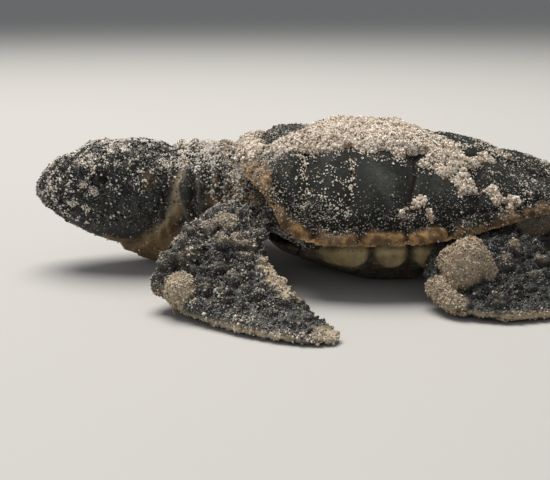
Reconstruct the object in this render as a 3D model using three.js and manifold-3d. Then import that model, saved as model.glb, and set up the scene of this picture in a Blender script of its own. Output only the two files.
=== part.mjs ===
// Loggerhead sea turtle hatchling, crawling on level ground, at life size.
// Millimetres, +Z up, head towards -X, the animal's left side towards -Y.
// The working frame has x = 0 at the front of the shell, y = 0 on the midline and z = 0 on the floor;
// the last lines move the whole animal so that its origin is under the middle of its box.
import * as THREE from "three";
import { mergeVertices } from "three/addons/utils/BufferGeometryUtils.js";
import Module from "manifold-3d";

const wasm = await Module();
wasm.setup();

// ---------- driving sizes ----------
const GAP = 0.3; // clear space between neighbouring pieces
const LEFT = -1; // the animal's left is -Y
const RIGHT = 1;

const SHELL = {
  length: 44, // straight length, front notch to rear tip
  crown: { x: 15.5, z: 16.5 }, // the highest point of the dome
  keel: { front: 0.85, rear: 0.5 }, // height of the keel along the midline
  rim: 1.6, // depth of the rim's edge
  wall: 1.3, // thickness over the back
  plates: 25, // rim plates all round, the nuchal among them
  rings: { over: 14, under: 5 }, // rings of facets on the two faces
};
// The horny plates of the back, parted by shallow grooves.
const PLATES = {
  spine: [2.6, 10, 16, 23, 31, 39.6], // seams across the midline row
  ribs: [7.8, 12.8, 19.3, 26.8, 35], // seams across the flanks
  half: { width: 4.9, zigzag: 0.9, pitch: 6.6 }, // half the width of the midline row, with its corners
  band: 0.93, // where the rim plates start, as a share of the way to the rim
  groove: { depth: 0.3, half: 0.65 },
};
const PLASTRON = {
  front: 3.2,
  length: 36.5,
  wall: 1.3,
  flat: 0.5, // share of the plate's outline, from the middle, that is level
  bridge: { x: 16, width: 9, rise: 1.6 }, // how far the sides turn up to meet the rim of the back
};
const TRUNK = {
  share: 0.9, // of the shell's outline
  low: 1.8, // height of its underside
  flank: 7, // how full its flanks are
};
const HEAD = { snout: [-23.6, 0, 9.2], length: 17.5, yaw: 6 };
const EYE = { radius: 1.6, along: 0.44, above: 1.5, bulge: 0.3 };
const MOUTH = { corner: 0.55, front: -1.6, back: -3.0 }; // heights from the head's axis
const NECK = { start: -17.4, end: 5.2, axis: 8.6 };
const TAIL = { root: [35.6, 0, 4.3], tip: [46.4, 0, 3.2], radius: 2.1 };

// The heap of sand along the back, in plan: its left and right edges as pairs of x and y, and its front and rear
// ends as pairs of y and x. Clods lie beside it, each with its place, radius and height.
const SAND = {
  depth: 0.95,
  left: [[2, -5], [4, -7.4], [6, -8.8], [9, -9.5], [14, -9.8], [20, -9.8], [23.2, -9.9], [26.5, -8], [28, -5]],
  right: [[2, 1.5], [8, 5.5], [14, 6.5], [18, 4.5], [20.5, -0.5], [24, -3.2], [28, -4.5]],
  front: [[-9, 3.2], [-6.5, 3.2], [-4.5, 5.6], [-2, 8.4], [6, 10]],
  rear: [[-10, 25.4], [-3, 27.4], [5, 22]],
  clods: [
    { at: [24.2, -11.0], radius: 1.8, height: 0.9 },
    { at: [29.9, -10.6], radius: 1.6, height: 0.6 },
    { at: [19.4, -14.8], radius: 1.4, height: 0.4 },
    { at: [27.6, -6.4], radius: 1.3, height: 0.6 },
    { at: [27.4, 6.4], radius: 1.9, height: 0.9 },
    { at: [21.6, 12.6], radius: 1.7, height: 0.8 },
    { at: [9.0, 12.4], radius: 1.5, height: 0.7 },
  ],
};

// The shell's left outline seen from above, with the height of the rim's lower edge, front to rear.
const RIM_STATIONS = [
  { x: 0.2, y: 0, low: 12.9 },
  { x: 0.1, y: 4.4, low: 11.7 },
  { x: 1.3, y: 9.0, low: 10.7 },
  { x: 3.2, y: 13.0, low: 9.6 },
  { x: 5.5, y: 15.3, low: 5.9 },
  { x: 9.4, y: 16.7, low: 4.8 },
  { x: 14.4, y: 17.3, low: 4.9 },
  { x: 20.2, y: 16.5, low: 4.9 },
  { x: 26.0, y: 14.3, low: 5.5 },
  { x: 31.8, y: 11.3, low: 6.4 },
  { x: 37.6, y: 7.8, low: 7.0 },
  { x: 42.0, y: 3.8, low: 7.3 },
  { x: 44.0, y: 0, low: 7.3 },
];

// The belly plate's left outline, as shares of its length, with the height its edge rises to.
const BELLY_STATIONS = [
  { along: 0, y: 0, rise: 2.4 },
  { along: 0.04, y: 5.2, rise: 2.4 },
  { along: 0.14, y: 10.6, rise: 2.9 },
  { along: 0.24, y: 14.6, rise: 3.5 },
  { along: 0.4, y: 15.2, rise: 3.6 },
  { along: 0.56, y: 13.9, rise: 3.5 },
  { along: 0.68, y: 9.4, rise: 2.6 },
  { along: 0.85, y: 5.6, rise: 2.0 },
  { along: 0.97, y: 2.6, rise: 1.8 },
  { along: 1, y: 0, rise: 1.8 },
];

// A limb is given by its leading and trailing edges and its thickness, from the root outwards, for the left side.
const FRONT_LIMB = [
  { lead: [-2.2, 6.4, 8.0], trail: [5.2, 6.4, 6.2], thick: 4.6 },
  { lead: [-3.6, 12.3, 7.9], trail: [3.6, 12.3, 5.8], thick: 4.4 },
  { lead: [-7.2, 17.0, 4.9], trail: [3.4, 17.2, 5.2], thick: 5.0 },
  { lead: [-8.1, 20.4, 1.9], trail: [4.7, 20.4, 4.4], thick: 4.0 },
  { lead: [-3.3, 24.9, 0.7], trail: [6.6, 23.9, 3.2], thick: 2.4 },
  { lead: [1.8, 29.0, 0.4], trail: [8.4, 26.4, 1.8], thick: 1.6 },
  { lead: [6.8, 31.6, 0.3], trail: [10.6, 28.0, 0.8], thick: 1.1 },
  { lead: [9.6, 31.9, 0.35], trail: [11.3, 29.8, 0.4], thick: 0.9 },
];
const HIND_LIMB = [
  { lead: [22.0, 7.6, 6.2], trail: [31.5, 6.6, 6.4], thick: 4.4 },
  { lead: [20.6, 13.2, 4.7], trail: [33.0, 10.2, 5.4], thick: 4.4 },
  { lead: [19.9, 17.8, 2.9], trail: [34.6, 12.2, 4.4], thick: 4.4 },
  { lead: [21.2, 22.2, 1.2], trail: [36.2, 13.8, 3.2], thick: 2.8 },
  { lead: [26.2, 25.0, 0.5], trail: [38.2, 15.4, 2.1], thick: 1.8 },
  { lead: [32.2, 23.7, 0.35], trail: [39.8, 17.6, 1.0], thick: 1.2 },
  { lead: [37.0, 21.2, 0.35], trail: [39.4, 19.2, 0.5], thick: 0.9 },
];
const WRIST_KNOB = { at: [-4.9, 21.9, 2.5], radius: 1.9 };
const KNEE_KNOB = { at: [24.2, 17.9, 4.0], radius: 3.2 };
const WRIST_SHARE = 0.385; // where along its length the front limb parts into arm and flipper
const ANKLE_SHARE = 0.52; // and the hind limb into thigh and foot
const FAR_FRONT_TURN = 9; // degrees that the right front limb is swung further forward
const FAR_HIND_TURN = -5; // and the right hind limb further back

// ---------- curves ----------
// A smooth function through pairs of [position, value].
function through(pairs) {
  const curve = new THREE.CubicInterpolant(pairs.map((p) => p[0]), pairs.map((p) => p[1]), 1);
  return (u) => curve.evaluate(u)[0];
}

// The straight lines through pairs of [position, value], level beyond the ends.
const along = (pairs) => (u) => {
  const after = pairs.findIndex((p) => p[0] > u);
  if (after === 0) return pairs[0][1];
  if (after < 0) return pairs[pairs.length - 1][1];
  const [from, to] = [pairs[after - 1], pairs[after]];
  return THREE.MathUtils.mapLinear(u, from[0], to[0], from[1], to[1]);
};

// 0 at both ends and 1 between, with ends as blunt as the two powers say.
function swell(u, atStart, atEnd) {
  const off = Math.min(1, Math.abs(2 * u - 1));
  const power = u < 0.5 ? atStart : atEnd;
  return (1 - off ** power) ** (1 / power);
}

const bump = (distance, width) => Math.exp(-((distance / width) ** 2));
const between = (x, low, high) => THREE.MathUtils.smoothstep(x, low, high);

// A closed outline, mirrored over the midline, as a function of the share of the way round from the front.
function outline(stations, place) {
  const points = stations.map(place);
  const half = new THREE.CatmullRomCurve3(points);
  return (share) => {
    const left = share <= 0.5;
    const at = half.getPoint(left ? share * 2 : 2 - share * 2);
    return at.setY(left ? -at.y : at.y);
  };
}

// ---------- solids ----------
// Every body is a three.js sphere whose points are put in place by a function of t, from 0 to 1 between the
// poles, and of the angle round them.
function shaped(around, along, place) {
  const sphere = new THREE.SphereGeometry(1, around, along);
  sphere.deleteAttribute("normal");
  sphere.deleteAttribute("uv");
  const geometry = mergeVertices(sphere, 1e-4);
  const points = geometry.getAttribute("position");
  for (let i = 0; i < points.count; i++) {
    const polar = Math.acos(THREE.MathUtils.clamp(points.getY(i), -1, 1));
    const at = place(polar, Math.atan2(points.getZ(i), points.getX(i)));
    points.setXYZ(i, at.x, at.y, at.z);
  }
  return solid(geometry);
}

function solid(geometry) {
  const bare = geometry.clone();
  bare.deleteAttribute("normal");
  bare.deleteAttribute("uv");
  const merged = mergeVertices(bare, 1e-4);
  const triVerts = new Uint32Array(merged.index.array);
  const vertProperties = new Float32Array(merged.getAttribute("position").array);
  const made = new wasm.Manifold(new wasm.Mesh({ numProp: 3, vertProperties, triVerts }));
  if (made.volume() > 0) return made;
  return new wasm.Manifold(new wasm.Mesh({ numProp: 3, vertProperties, triVerts: triVerts.reverse() }));
}

function ball(radius, at, around = 12, along = 8) {
  return solid(new THREE.SphereGeometry(radius, around, along).rotateX(Math.PI / 2).translate(...at));
}

// Everything on the far side of a plane, as a box far larger than the animal.
function beyond(point, normal) {
  const size = 300;
  const turn = new THREE.Quaternion().setFromUnitVectors(new THREE.Vector3(0, 0, 1), normal.clone().normalize());
  const box = new THREE.BoxGeometry(size, size, size).translate(0, 0, size / 2);
  return solid(box.applyQuaternion(turn).translate(point.x, point.y, point.z));
}

const largest = (made) => made.decompose().sort((a, b) => b.volume() - a.volume())[0];
const cut = (made, ...others) => largest(others.reduce((rest, other) => rest.subtract(other), made));

// ---------- shell ----------
const rimOutline = outline(RIM_STATIONS, (s) => new THREE.Vector3(s.x, s.y, s.low));

// The dome between a rim height and a crown height: steep at the flanks, long and even towards the tail.
function domeHeight(r, share, rim, crown) {
  const rear = 1 - between(Math.abs(0.5 - share), 0.02, 0.28);
  const bow = THREE.MathUtils.lerp(2.3, 1.75, rear);
  const ease = THREE.MathUtils.lerp(0.66, 1.0, rear);
  return rim + (crown - rim) * (1 - Math.min(1, r) ** bow) ** ease;
}

const shareOf = (angle) => THREE.MathUtils.euclideanModulo(angle / (2 * Math.PI), 1);

const sandEdges = Object.fromEntries(["left", "right", "front", "rear"].map((edge) => [edge, along(SAND[edge])]));

// How surely a place on the back lies under the heap of sand, from 0 to 1.
function heapCover(x, y) {
  const { left, right, front, rear } = sandEdges;
  return between(Math.min(y - left(x), right(x) - y, x - front(y), rear(y) - x), -0.5, 0.7);
}

// How high the clods lie on it.
function clodHeight(x, y) {
  const rise = ({ at, radius, height }) => height * bump(Math.hypot(x - at[0], y - at[1]), radius);
  return Math.max(...SAND.clods.map(rise));
}

// How deep a place on the back lies in the groove round each plate.
function grooveDepth(x, y, r) {
  const { spine, ribs, half, band, groove } = PLATES;
  const side = Math.abs(y);
  const rowEdge = half.width + half.zigzag * Math.cos((2 * Math.PI * (x - ribs[1])) / half.pitch);
  const across = side < rowEdge ? spine : ribs;
  const away = Math.min(...across.map((seam) => Math.abs(x - seam)), Math.abs(side - rowEdge));
  return groove.depth * bump(away, groove.half) * (1 - between(r, band - 0.1, band));
}

// The back's own relief: a keel along the midline and a lower one on each flank,
// and the grooves between the plates, all buried where the sand lies.
function backRelief(x, y, r) {
  const keel = THREE.MathUtils.lerp(SHELL.keel.front, SHELL.keel.rear, between(x, 5, 25));
  const keels = keel * (bump(y, 1.4) + 0.6 * bump(Math.abs(y) - 8.4, 1.3)) * between(1 - r, 0, 0.3);
  const cover = heapCover(x, y);
  const bare = keels - grooveDepth(x, y, r) + clodHeight(x, y);
  return THREE.MathUtils.lerp(bare, SAND.depth, cover);
}

function carapace(grow = 0) {
  const { crown, rim, wall, plates, rings } = SHELL;
  const count = rings.over + rings.under;
  return shaped(2 * plates, count, (sphere, angle) => {
    const ring = Math.round((sphere / Math.PI) * count);
    const under = ring > rings.over;
    const polar = under ? (count - ring) / rings.under : ring / rings.over;
    const r = Math.sin((polar * Math.PI) / 2);
    const share = shareOf(angle);
    const edge = rimOutline(share);
    const lobe = 1 + 0.012 * Math.abs(Math.cos(Math.PI * share * plates)) * r ** 8;
    const reach = Math.hypot(edge.x - crown.x, edge.y);
    const inset = (under ? -(grow + wall) : grow) / reach;
    const x = crown.x + (edge.x - crown.x) * r * (lobe + inset);
    const y = edge.y * r * (lobe + inset);
    const top = domeHeight(r, share, edge.z + rim, crown.z) + backRelief(x, y, r) + grow;
    const bottom = domeHeight(r, share, edge.z, crown.z - wall) - grow;
    const z = under ? bottom : top - (r > 0.999 ? rim * 0.45 + grow : 0);
    return new THREE.Vector3(x, y, z);
  });
}

// The belly plate, turned up into a bridge on each side where it meets the rim of the back.
function plastron(grow = 0) {
  const { front, length, wall, flat, bridge } = PLASTRON;
  const edgeAt = outline(BELLY_STATIONS, (s) => new THREE.Vector3(front + s.along * length, s.y, s.rise));
  const middle = front + length * 0.42;
  return shaped(38, 10, (polar, angle) => {
    const edge = edgeAt(shareOf(angle));
    const r = Math.sin(polar);
    const at = r * (1 + grow / Math.hypot(edge.x - middle, edge.y));
    const low = edge.z * between(at, flat, 1.08) * 1.08;
    const half = (wall / 2) * (1 - r ** 14) ** 0.5 + grow;
    const upper = polar < Math.PI / 2;
    const turnUp = bridge.rise * bump(edge.x - bridge.x, bridge.width) * between(at, 0.8, 0.97);
    const z = low + wall / 2 + (upper ? half + turnUp : turnUp * between(at, 0.96, 1) * 0.5 - half);
    return new THREE.Vector3(middle + (edge.x - middle) * at, edge.y * at, z);
  });
}

// The soft body that fills the shell and shows between its halves at the neck, the shoulders and the hips.
function trunk(grow = 0) {
  const { crown, wall } = SHELL;
  const { share: part, low, flank } = TRUNK;
  return shaped(22, 8, (polar, angle) => {
    const share = shareOf(angle);
    const edge = rimOutline(share);
    const r = Math.sin(polar);
    const reach = part + grow / Math.hypot(edge.x - crown.x, edge.y);
    const roof = (at) => domeHeight(part * at, share, edge.z, crown.z - wall) - 4 * GAP;
    const eaves = roof(1) - 0.6;
    const z = polar < Math.PI / 2 + 0.01 ? Math.min(roof(r) + grow, crown.z) : low + (eaves - low) * r ** flank - grow;
    return new THREE.Vector3(crown.x + (edge.x - crown.x) * r * reach, edge.y * r * reach, z);
  });
}

// ---------- head and neck ----------
const headAbove = through([[0, 4.0], [0.1, 4.7], [0.25, 5.1], [0.42, 5.47], [0.6, 5.8], [0.8, 5.9], [1, 6.0]]);
const headBelow = through([[0, 2.6], [0.06, 3.8], [0.15, 4.4], [0.34, 5.6], [0.55, 6.7], [0.75, 6.1], [0.87, 4.9], [1, 4]]);
const headWide = through([[0, 3.4], [0.12, 3.9], [0.3, 4.6], [0.6, 5.7], [0.85, 6.0], [1, 5.4]]);
const headX = (u) => HEAD.snout[0] + HEAD.length * u;
const neckPivot = new THREE.Vector3(headX(1), 0, 0);

// Turns a point or solid of the straight head about the neck, towards the animal's left.
const headTurn = new THREE.Matrix4()
  .makeTranslation(neckPivot.x, 0, 0)
  .multiply(new THREE.Matrix4().makeRotationZ(THREE.MathUtils.degToRad(HEAD.yaw)))
  .multiply(new THREE.Matrix4().makeTranslation(-neckPivot.x, 0, 0));

function headPoint(polar, angle, grow) {
  const u = (1 - Math.cos(polar)) / 2;
  const full = swell(u, 2.2, 3.4);
  const across = Math.cos(angle);
  const up = Math.sin(angle);
  const brow = 0.45 * bump(u - 0.42, 0.14) * bump(up - 0.62, 0.28);
  const socket = 0.5 * bump(u - EYE.along, 0.1) * bump(up - 0.22, 0.26);
  const cheek = 0.35 * bump(u - 0.72, 0.16) * bump(up + 0.35, 0.4);
  const beak = 0.35 * bump(u - 0.1, 0.08) * bump(up + 0.25, 0.3);
  const round = Math.sign(across) * Math.abs(across) ** 0.88;
  const wide = headWide(u) * full + brow + cheek + beak - socket + grow;
  const high = (up > 0 ? headAbove(u) : headBelow(u)) * full + grow;
  const at = new THREE.Vector3(headX(u) + grow * (2 * u - 1), wide * round, HEAD.snout[2] + high * up);
  return at.applyMatrix4(headTurn);
}

const wholeHead = (grow = 0) => shaped(26, 16, (polar, angle) => headPoint(polar, angle, grow));

function eyePlace(side) {
  const u = EYE.along;
  const skin = headWide(u) * swell(u, 2.2, 3.4) * 0.965 - 0.5;
  const at = new THREE.Vector3(headX(u), side * (skin + EYE.bulge - EYE.radius), HEAD.snout[2] + EYE.above);
  return at.applyMatrix4(headTurn).toArray();
}

// The lower jaw's share of the head: below the mouth line and in front of its corner.
function jawSpace(grow = 0) {
  const corner = new THREE.Vector2(headX(MOUTH.corner), HEAD.snout[2] + MOUTH.back);
  const lip = new THREE.Vector2(headX(-0.05), HEAD.snout[2] + MOUTH.front);
  const side = new THREE.Shape();
  side.moveTo(lip.x, lip.y + grow);
  side.quadraticCurveTo(headX(0.3), HEAD.snout[2] + MOUTH.back - 0.4 + grow, corner.x + grow, corner.y + grow);
  side.lineTo(headX(0.66) + grow, -1);
  side.lineTo(lip.x, -1);
  const block = new THREE.ExtrudeGeometry(side, { depth: 30, bevelEnabled: false, curveSegments: 8 });
  block.translate(0, 0, -15).rotateX(Math.PI / 2);
  return solid(block.applyMatrix4(headTurn));
}

// The neck, with the slack skin of the throat hanging down to the floor.
function neck(grow = 0) {
  const { start, end, axis } = NECK;
  const top = through([[0, 3.0], [0.3, 4.9], [0.5, 5.6], [0.7, 5.7], [1, 5.3]]);
  const low = through([[0, 6.6], [0.12, 8.3], [0.35, 9.0], [0.55, 7.6], [0.75, 6.4], [1, 5.8]]);
  const wide = through([[0, 3.6], [0.3, 4.9], [0.64, 6.3], [0.86, 8.2], [1, 9.2]]);
  return shaped(18, 12, (polar, angle) => {
    const u = (1 - Math.cos(polar)) / 2;
    const full = swell(u, 2.2, 5);
    const up = Math.sin(angle);
    const reach = (up > 0 ? top(u) : low(u)) * full + grow;
    const x = THREE.MathUtils.lerp(start, end, u) + grow * (2 * u - 1);
    return new THREE.Vector3(x, (wide(u) * full + grow) * Math.cos(angle), axis + reach * up);
  });
}

function tail(grow = 0) {
  const root = new THREE.Vector3(...TAIL.root);
  const tip = new THREE.Vector3(...TAIL.tip);
  return shaped(10, 8, (polar, angle) => {
    const u = (1 - Math.cos(polar)) / 2;
    const radius = TAIL.radius * (1 - 0.78 * u) * swell(u, 3, 2.2) + grow;
    const at = root.clone().lerp(tip, u);
    return at.add(new THREE.Vector3(0, radius * Math.cos(angle), radius * Math.sin(angle) * 0.85));
  });
}

// ---------- limbs ----------
function limb(stations, side, turn, grow = 0) {
  const root = new THREE.Vector3().lerpVectors(vector(stations[1].lead), vector(stations[1].trail), 0.5);
  const swing = (v) => {
    const at = v.sub(root).applyAxisAngle(new THREE.Vector3(0, 0, 1), THREE.MathUtils.degToRad(turn));
    return at.add(root).setY(side * at.y);
  };
  const lead = new THREE.CatmullRomCurve3(stations.map((s) => swing(vector(s.lead))));
  const trail = new THREE.CatmullRomCurve3(stations.map((s) => swing(vector(s.trail))));
  const thick = through(stations.map((s, i) => [i / (stations.length - 1), s.thick]));
  const made = shaped(14, 16, (polar, angle) => {
    const u = (1 - Math.cos(polar)) / 2;
    const front = lead.getPoint(u);
    const back = trail.getPoint(u);
    const chord = front.clone().sub(back).multiplyScalar(0.5);
    const onward = lead.getTangent(u).add(trail.getTangent(u));
    const normal = new THREE.Vector3().crossVectors(chord, onward).normalize();
    const full = swell(u, 4, 3);
    const across = Math.cos(angle);
    const deep = Math.sign(Math.sin(angle)) * Math.abs(Math.sin(angle)) ** 0.85;
    const depth = deep * ((thick(u) / 2) * full * (1 + 0.3 * across) + grow);
    const along = Math.sign(across) * Math.abs(across) ** 0.9 * full;
    const middle = front.add(back).multiplyScalar(0.5);
    const reach = chord.length() + grow;
    return middle.add(chord.setLength(reach * along)).addScaledVector(normal, depth);
  });
  return { made, swing, lead, trail };
}

const vector = (a) => new THREE.Vector3(...a);

// Parts a limb in two with a thin cut across it, at a share of its length.
function parted(whole, { lead, trail }, share) {
  const at = lead.getPoint(share).add(trail.getPoint(share)).multiplyScalar(0.5);
  const onward = lead.getTangent(share).add(trail.getTangent(share)).normalize();
  const step = onward.clone().multiplyScalar(GAP / 2);
  const outer = beyond(at.clone().sub(step), onward);
  const inner = beyond(at.clone().add(step), onward.clone().negate());
  return [cut(whole, outer), cut(whole, inner)];
}

// ---------- materials ----------
const paint = (colour, roughness) => new THREE.MeshStandardMaterial({ color: colour, roughness, metalness: 0 });
const FINISH = {
  shell: paint(0x4b4740, 0.7),
  belly: paint(0xa88f63, 0.6),
  skin: paint(0x55514b, 0.75),
  throat: paint(0x8a7452, 0.7),
  eye: paint(0x0c0b0a, 0.1),
};

const turtle = new THREE.Group();

function add(name, made, material) {
  const mesh = made.getMesh();
  const geometry = new THREE.BufferGeometry();
  geometry.setAttribute("position", new THREE.BufferAttribute(new Float32Array(mesh.vertProperties), 3));
  geometry.setIndex(new THREE.BufferAttribute(new Uint32Array(mesh.triVerts), 1));
  const piece = new THREE.Mesh(geometry, material);
  piece.name = name;
  turtle.add(piece);
}

// ---------- assembly ----------
const floor = beyond(new THREE.Vector3(0, 0, 0), new THREE.Vector3(0, 0, -1));
const shellSpace = carapace(GAP).add(carapace().translate([0, 0, -GAP / 2]));
const bellySpace = plastron(GAP);
const trunkSpace = trunk(GAP);
const neckSpace = neck(GAP);
const headSpace = wholeHead(GAP);

function addShells() {
  add("carapace", carapace(), FINISH.shell);
  add("plastron", cut(plastron(), shellSpace, floor), FINISH.belly);
}

function addHead() {
  const sockets = [LEFT, RIGHT].map((side) => ball(EYE.radius + 0.15, eyePlace(side)));
  const whole = cut(wholeHead(), ...sockets);
  add("head", cut(whole, jawSpace(GAP)), FINISH.skin);
  add("lower_jaw", largest(whole.intersect(jawSpace())), FINISH.skin);
  add("left_eye", ball(EYE.radius, eyePlace(LEFT)), FINISH.eye);
  add("right_eye", ball(EYE.radius, eyePlace(RIGHT)), FINISH.eye);
}

function addBody() {
  add("trunk", cut(trunk(), shellSpace, bellySpace, floor), FINISH.skin);
  add("neck", cut(neck(), headSpace, trunkSpace, shellSpace, bellySpace, floor), FINISH.throat);
  add("tail", cut(tail(), trunkSpace, shellSpace, bellySpace, floor), FINISH.skin);
}

function addLimb({ names, stations, knob, share, side, turn }) {
  const bones = limb(stations, side, turn);
  const lump = ball(knob.radius, bones.swing(vector(knob.at)).toArray());
  const clear = cut(bones.made.add(lump), trunkSpace, shellSpace, bellySpace, neckSpace, headSpace, floor);
  const pieces = parted(clear, bones, share);
  names.forEach((name, i) => add(name, pieces[i], FINISH.skin));
}

addShells();
addHead();
addBody();
for (const [side, word, frontTurn, hindTurn] of [
  [LEFT, "left", 0, 0],
  [RIGHT, "right", FAR_FRONT_TURN, FAR_HIND_TURN],
]) {
  addLimb({
    names: [`${word}_front_arm`, `${word}_front_flipper`],
    stations: FRONT_LIMB,
    knob: WRIST_KNOB,
    share: WRIST_SHARE,
    side,
    turn: frontTurn,
  });
  addLimb({
    names: [`${word}_hind_thigh`, `${word}_hind_flipper`],
    stations: HIND_LIMB,
    knob: KNEE_KNOB,
    share: ANKLE_SHARE,
    side,
    turn: hindTurn,
  });
}

// The origin is on the floor under the middle of the animal's box.
const box = new THREE.Box3().setFromObject(turtle);
const middle = box.getCenter(new THREE.Vector3());
for (const piece of turtle.children) piece.geometry.translate(-middle.x, -middle.y, -box.min.z);

export default turtle;
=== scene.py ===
"""Loggerhead turtle hatchling: skin, shell, eyes, claws and a coat of sand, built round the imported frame."""

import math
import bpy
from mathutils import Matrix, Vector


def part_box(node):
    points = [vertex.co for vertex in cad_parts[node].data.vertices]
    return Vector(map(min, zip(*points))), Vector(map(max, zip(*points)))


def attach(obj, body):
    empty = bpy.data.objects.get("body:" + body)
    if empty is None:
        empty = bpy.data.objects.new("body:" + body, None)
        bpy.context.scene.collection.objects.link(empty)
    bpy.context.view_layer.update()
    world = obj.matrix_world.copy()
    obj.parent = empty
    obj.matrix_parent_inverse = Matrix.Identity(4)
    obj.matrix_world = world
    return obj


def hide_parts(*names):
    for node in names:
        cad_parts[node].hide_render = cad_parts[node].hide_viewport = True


bl_info = {
    "name": "Loggerhead hatchling",
    "version": (1, 0, 0),
    "blender": (4, 5, 0),
    "location": "View3D > Sidebar > Turtle",
    "description": "Dresses the frame of a loggerhead hatchling with skin, shell, eyes, claws and sand",
    "category": "Object",
}

import bmesh
import bpy
import numpy as np
from bpy.props import FloatProperty, FloatVectorProperty, IntProperty, PointerProperty
from mathutils import Vector
from mathutils.bvhtree import BVHTree

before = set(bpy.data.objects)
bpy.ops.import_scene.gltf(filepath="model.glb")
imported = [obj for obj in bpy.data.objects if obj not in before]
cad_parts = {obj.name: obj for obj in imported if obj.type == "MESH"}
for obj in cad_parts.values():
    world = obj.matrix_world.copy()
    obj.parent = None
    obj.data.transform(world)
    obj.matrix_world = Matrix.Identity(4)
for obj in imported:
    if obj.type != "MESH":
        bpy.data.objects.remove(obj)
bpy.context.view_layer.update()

# ---------- the animal's own frame ----------
# Shapes are worked out in millimetres from the front of the shell (x), the midline (y) and the floor (z).
# The head points to -x and the animal's left is -y.
MM = 0.001
SHELL_LOW, SHELL_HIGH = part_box("carapace")
ORIGIN = np.array([SHELL_LOW.x, (SHELL_LOW.y + SHELL_HIGH.y) / 2, 0]) / MM
LEFT, RIGHT = -1, 1

HEAD_NODES = ("head", "lower_jaw")
LIMB_NODES = ("{}_front_arm", "{}_front_flipper", "{}_hind_thigh", "{}_hind_flipper")
SIDES = {"left": LEFT, "right": RIGHT}

# The head on its straight axis, before it turns about the neck.
SNOUT = np.array([-23.6, 0, 9.2])
HEAD_LENGTH = 17.5
HEAD_YAW = math.radians(6)
EYE_RADIUS = 1.6
FOLD_STEP, FINE_FOLD_STEP = 1.7, 0.62  # from one fold of the neck to the next
LIP_LINE = [(-0.05, -1.6), (0.1, -2.25), (0.275, -2.85), (0.42, -3.05), (0.56, -2.9)]  # share and height
JAW_LINE = [(-17, 3.0), (-15.3, 4.2), (-13.7, 3.7), (-11.2, 3.6), (-9.4, 4.5), (-7.8, 6.3)]  # x and height

# The limbs, on the animal's left with outwards as positive y: the leading and trailing edges in plan, how
# far the right limb is swung about its root, the knob of sand on its joint, the clods of damp sand as x, y,
# z, radius and how thickly they are caked, and the creases between them in plan.
LIMBS = {
    "front": {
        "lead": [
            (-2.2, 6.4), (-3.6, 12.3), (-7.2, 17), (-8.1, 20.4), (-3.3, 24.9), (1.8, 29), (6.8, 31.6),
            (9.6, 31.9),
        ],
        "trail": [
            (5.2, 6.4), (3.6, 12.3), (3.4, 17.2), (4.7, 20.4), (6.6, 23.9), (8.4, 26.4), (10.6, 28),
            (11.3, 29.8),
        ],
        "swing": math.radians(9),
        "knob": (-4.9, 21.9, 2.5, 1.9),
        "clods": [
            (-0.4, 14.8, 8.4, 1.5, 0.6), (-2.3, 15.8, 8.0, 1.2, 0.35), (-0.5, 18.2, 6.9, 1.1, 0.4),
            (0.9, 17.4, 6.9, 1.1, 0.5), (2.1, 17.5, 6.1, 0.9, 0.3), (1.8, 19.5, 5.9, 1.0, 0.25),
            (-4.4, 19.2, 6.0, 1.7, 0.1), (-6.3, 19.3, 5.0, 1.2, 0.1), (3.0, 14.4, 6.8, 1.1, 0.1),
            (-7.2, 21.0, 2.4, 0.8, 0.3), (-5.5, 23.3, 1.0, 0.7, 0.3), (-3.9, 16.2, 7.0, 1.2, 0.25),
            (-1.2, 20.9, 5.4, 1.1, 0.1), (0.5, 22.7, 4.5, 1.0, 0.1), (-2.5, 23.0, 3.7, 1.0, 0.1),
            (2.9, 24.9, 3.6, 1.0, 0.1),
        ],
        "creases": [
            [(-3.4, 20.6), (-2.5, 18.8), (-2.4, 16.6), (-3.0, 14.0)],
            [(-1.9, 20.5), (0.3, 20.1), (2.1, 18.6), (3.4, 16)],
        ],
    },
    "hind": {
        "lead": [(22, 7.6), (20.6, 13.2), (19.9, 17.8), (21.2, 22.2), (26.2, 25), (32.2, 23.7), (37, 21.2)],
        "trail": [
            (31.5, 6.6), (33, 10.2), (34.6, 12.2), (36.2, 13.8), (38.2, 15.4), (39.8, 17.6),
            (39.4, 19.2),
        ],
        "swing": math.radians(-5),
        "knob": (24.2, 17.9, 4.0, 3.2),
        "clods": [
            (21.0, 20.8, 2.3, 2.3, 0.8), (22.4, 22.6, 1.3, 1.5, 0.7), (29.8, 14.8, 5.4, 1.0, 0.7),
            (34.2, 17.0, 3.0, 1.0, 0.2), (28.6, 17.2, 4.4, 0.9, 0.2), (31.4, 18.0, 2.9, 1.0, 0.1),
            (26.6, 22.6, 1.8, 1.2, 0.1), (32.6, 15.0, 4.0, 0.9, 0.3),
        ],
        "creases": [[(20.4, 17.4), (23.0, 21.4), (26.4, 21.6), (28.4, 19.0)]],
    },
}

# The plates of the back, in plan on one side of the midline.
CROWN = (15.5, 0)
SPINE_EDGE = [(1.0, 3.4), (2.6, 3.0), (7.5, 5.8), (10, 4.1), (12.6, 6.2), (16, 4.4), (19.4, 6.0), (23, 4.0)]
SPINE_EDGE += [(26.7, 5.2), (31, 3.2), (34.6, 4.4), (39.6, 2.4)]
SEAM_OVERLAP = 0.2  # how far the seams across the spine's plates and the flank's run on past its edge
SPINE_SEAMS = (2.6, 10, 16, 23, 31, 39.6)
RIB_SEAMS = [
    [(7.5, 5.8), (8.0, 10), (7.9, 13.7), (7.2, 15.6)],
    [(12.6, 6.2), (13.0, 9.5), (12.7, 14.5), (11.8, 16.8)],
    [(19.4, 6.0), (20.1, 11), (19.0, 14.7), (18.2, 16.9)],
    [(26.7, 5.2), (27.1, 9.8), (26.1, 13.9)],
    [(34.6, 4.4), (35.6, 6.6), (35.8, 8.4)],
]
RIM_PLATES = 25
RIM_PLATE_WIDTH = 5.0
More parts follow.
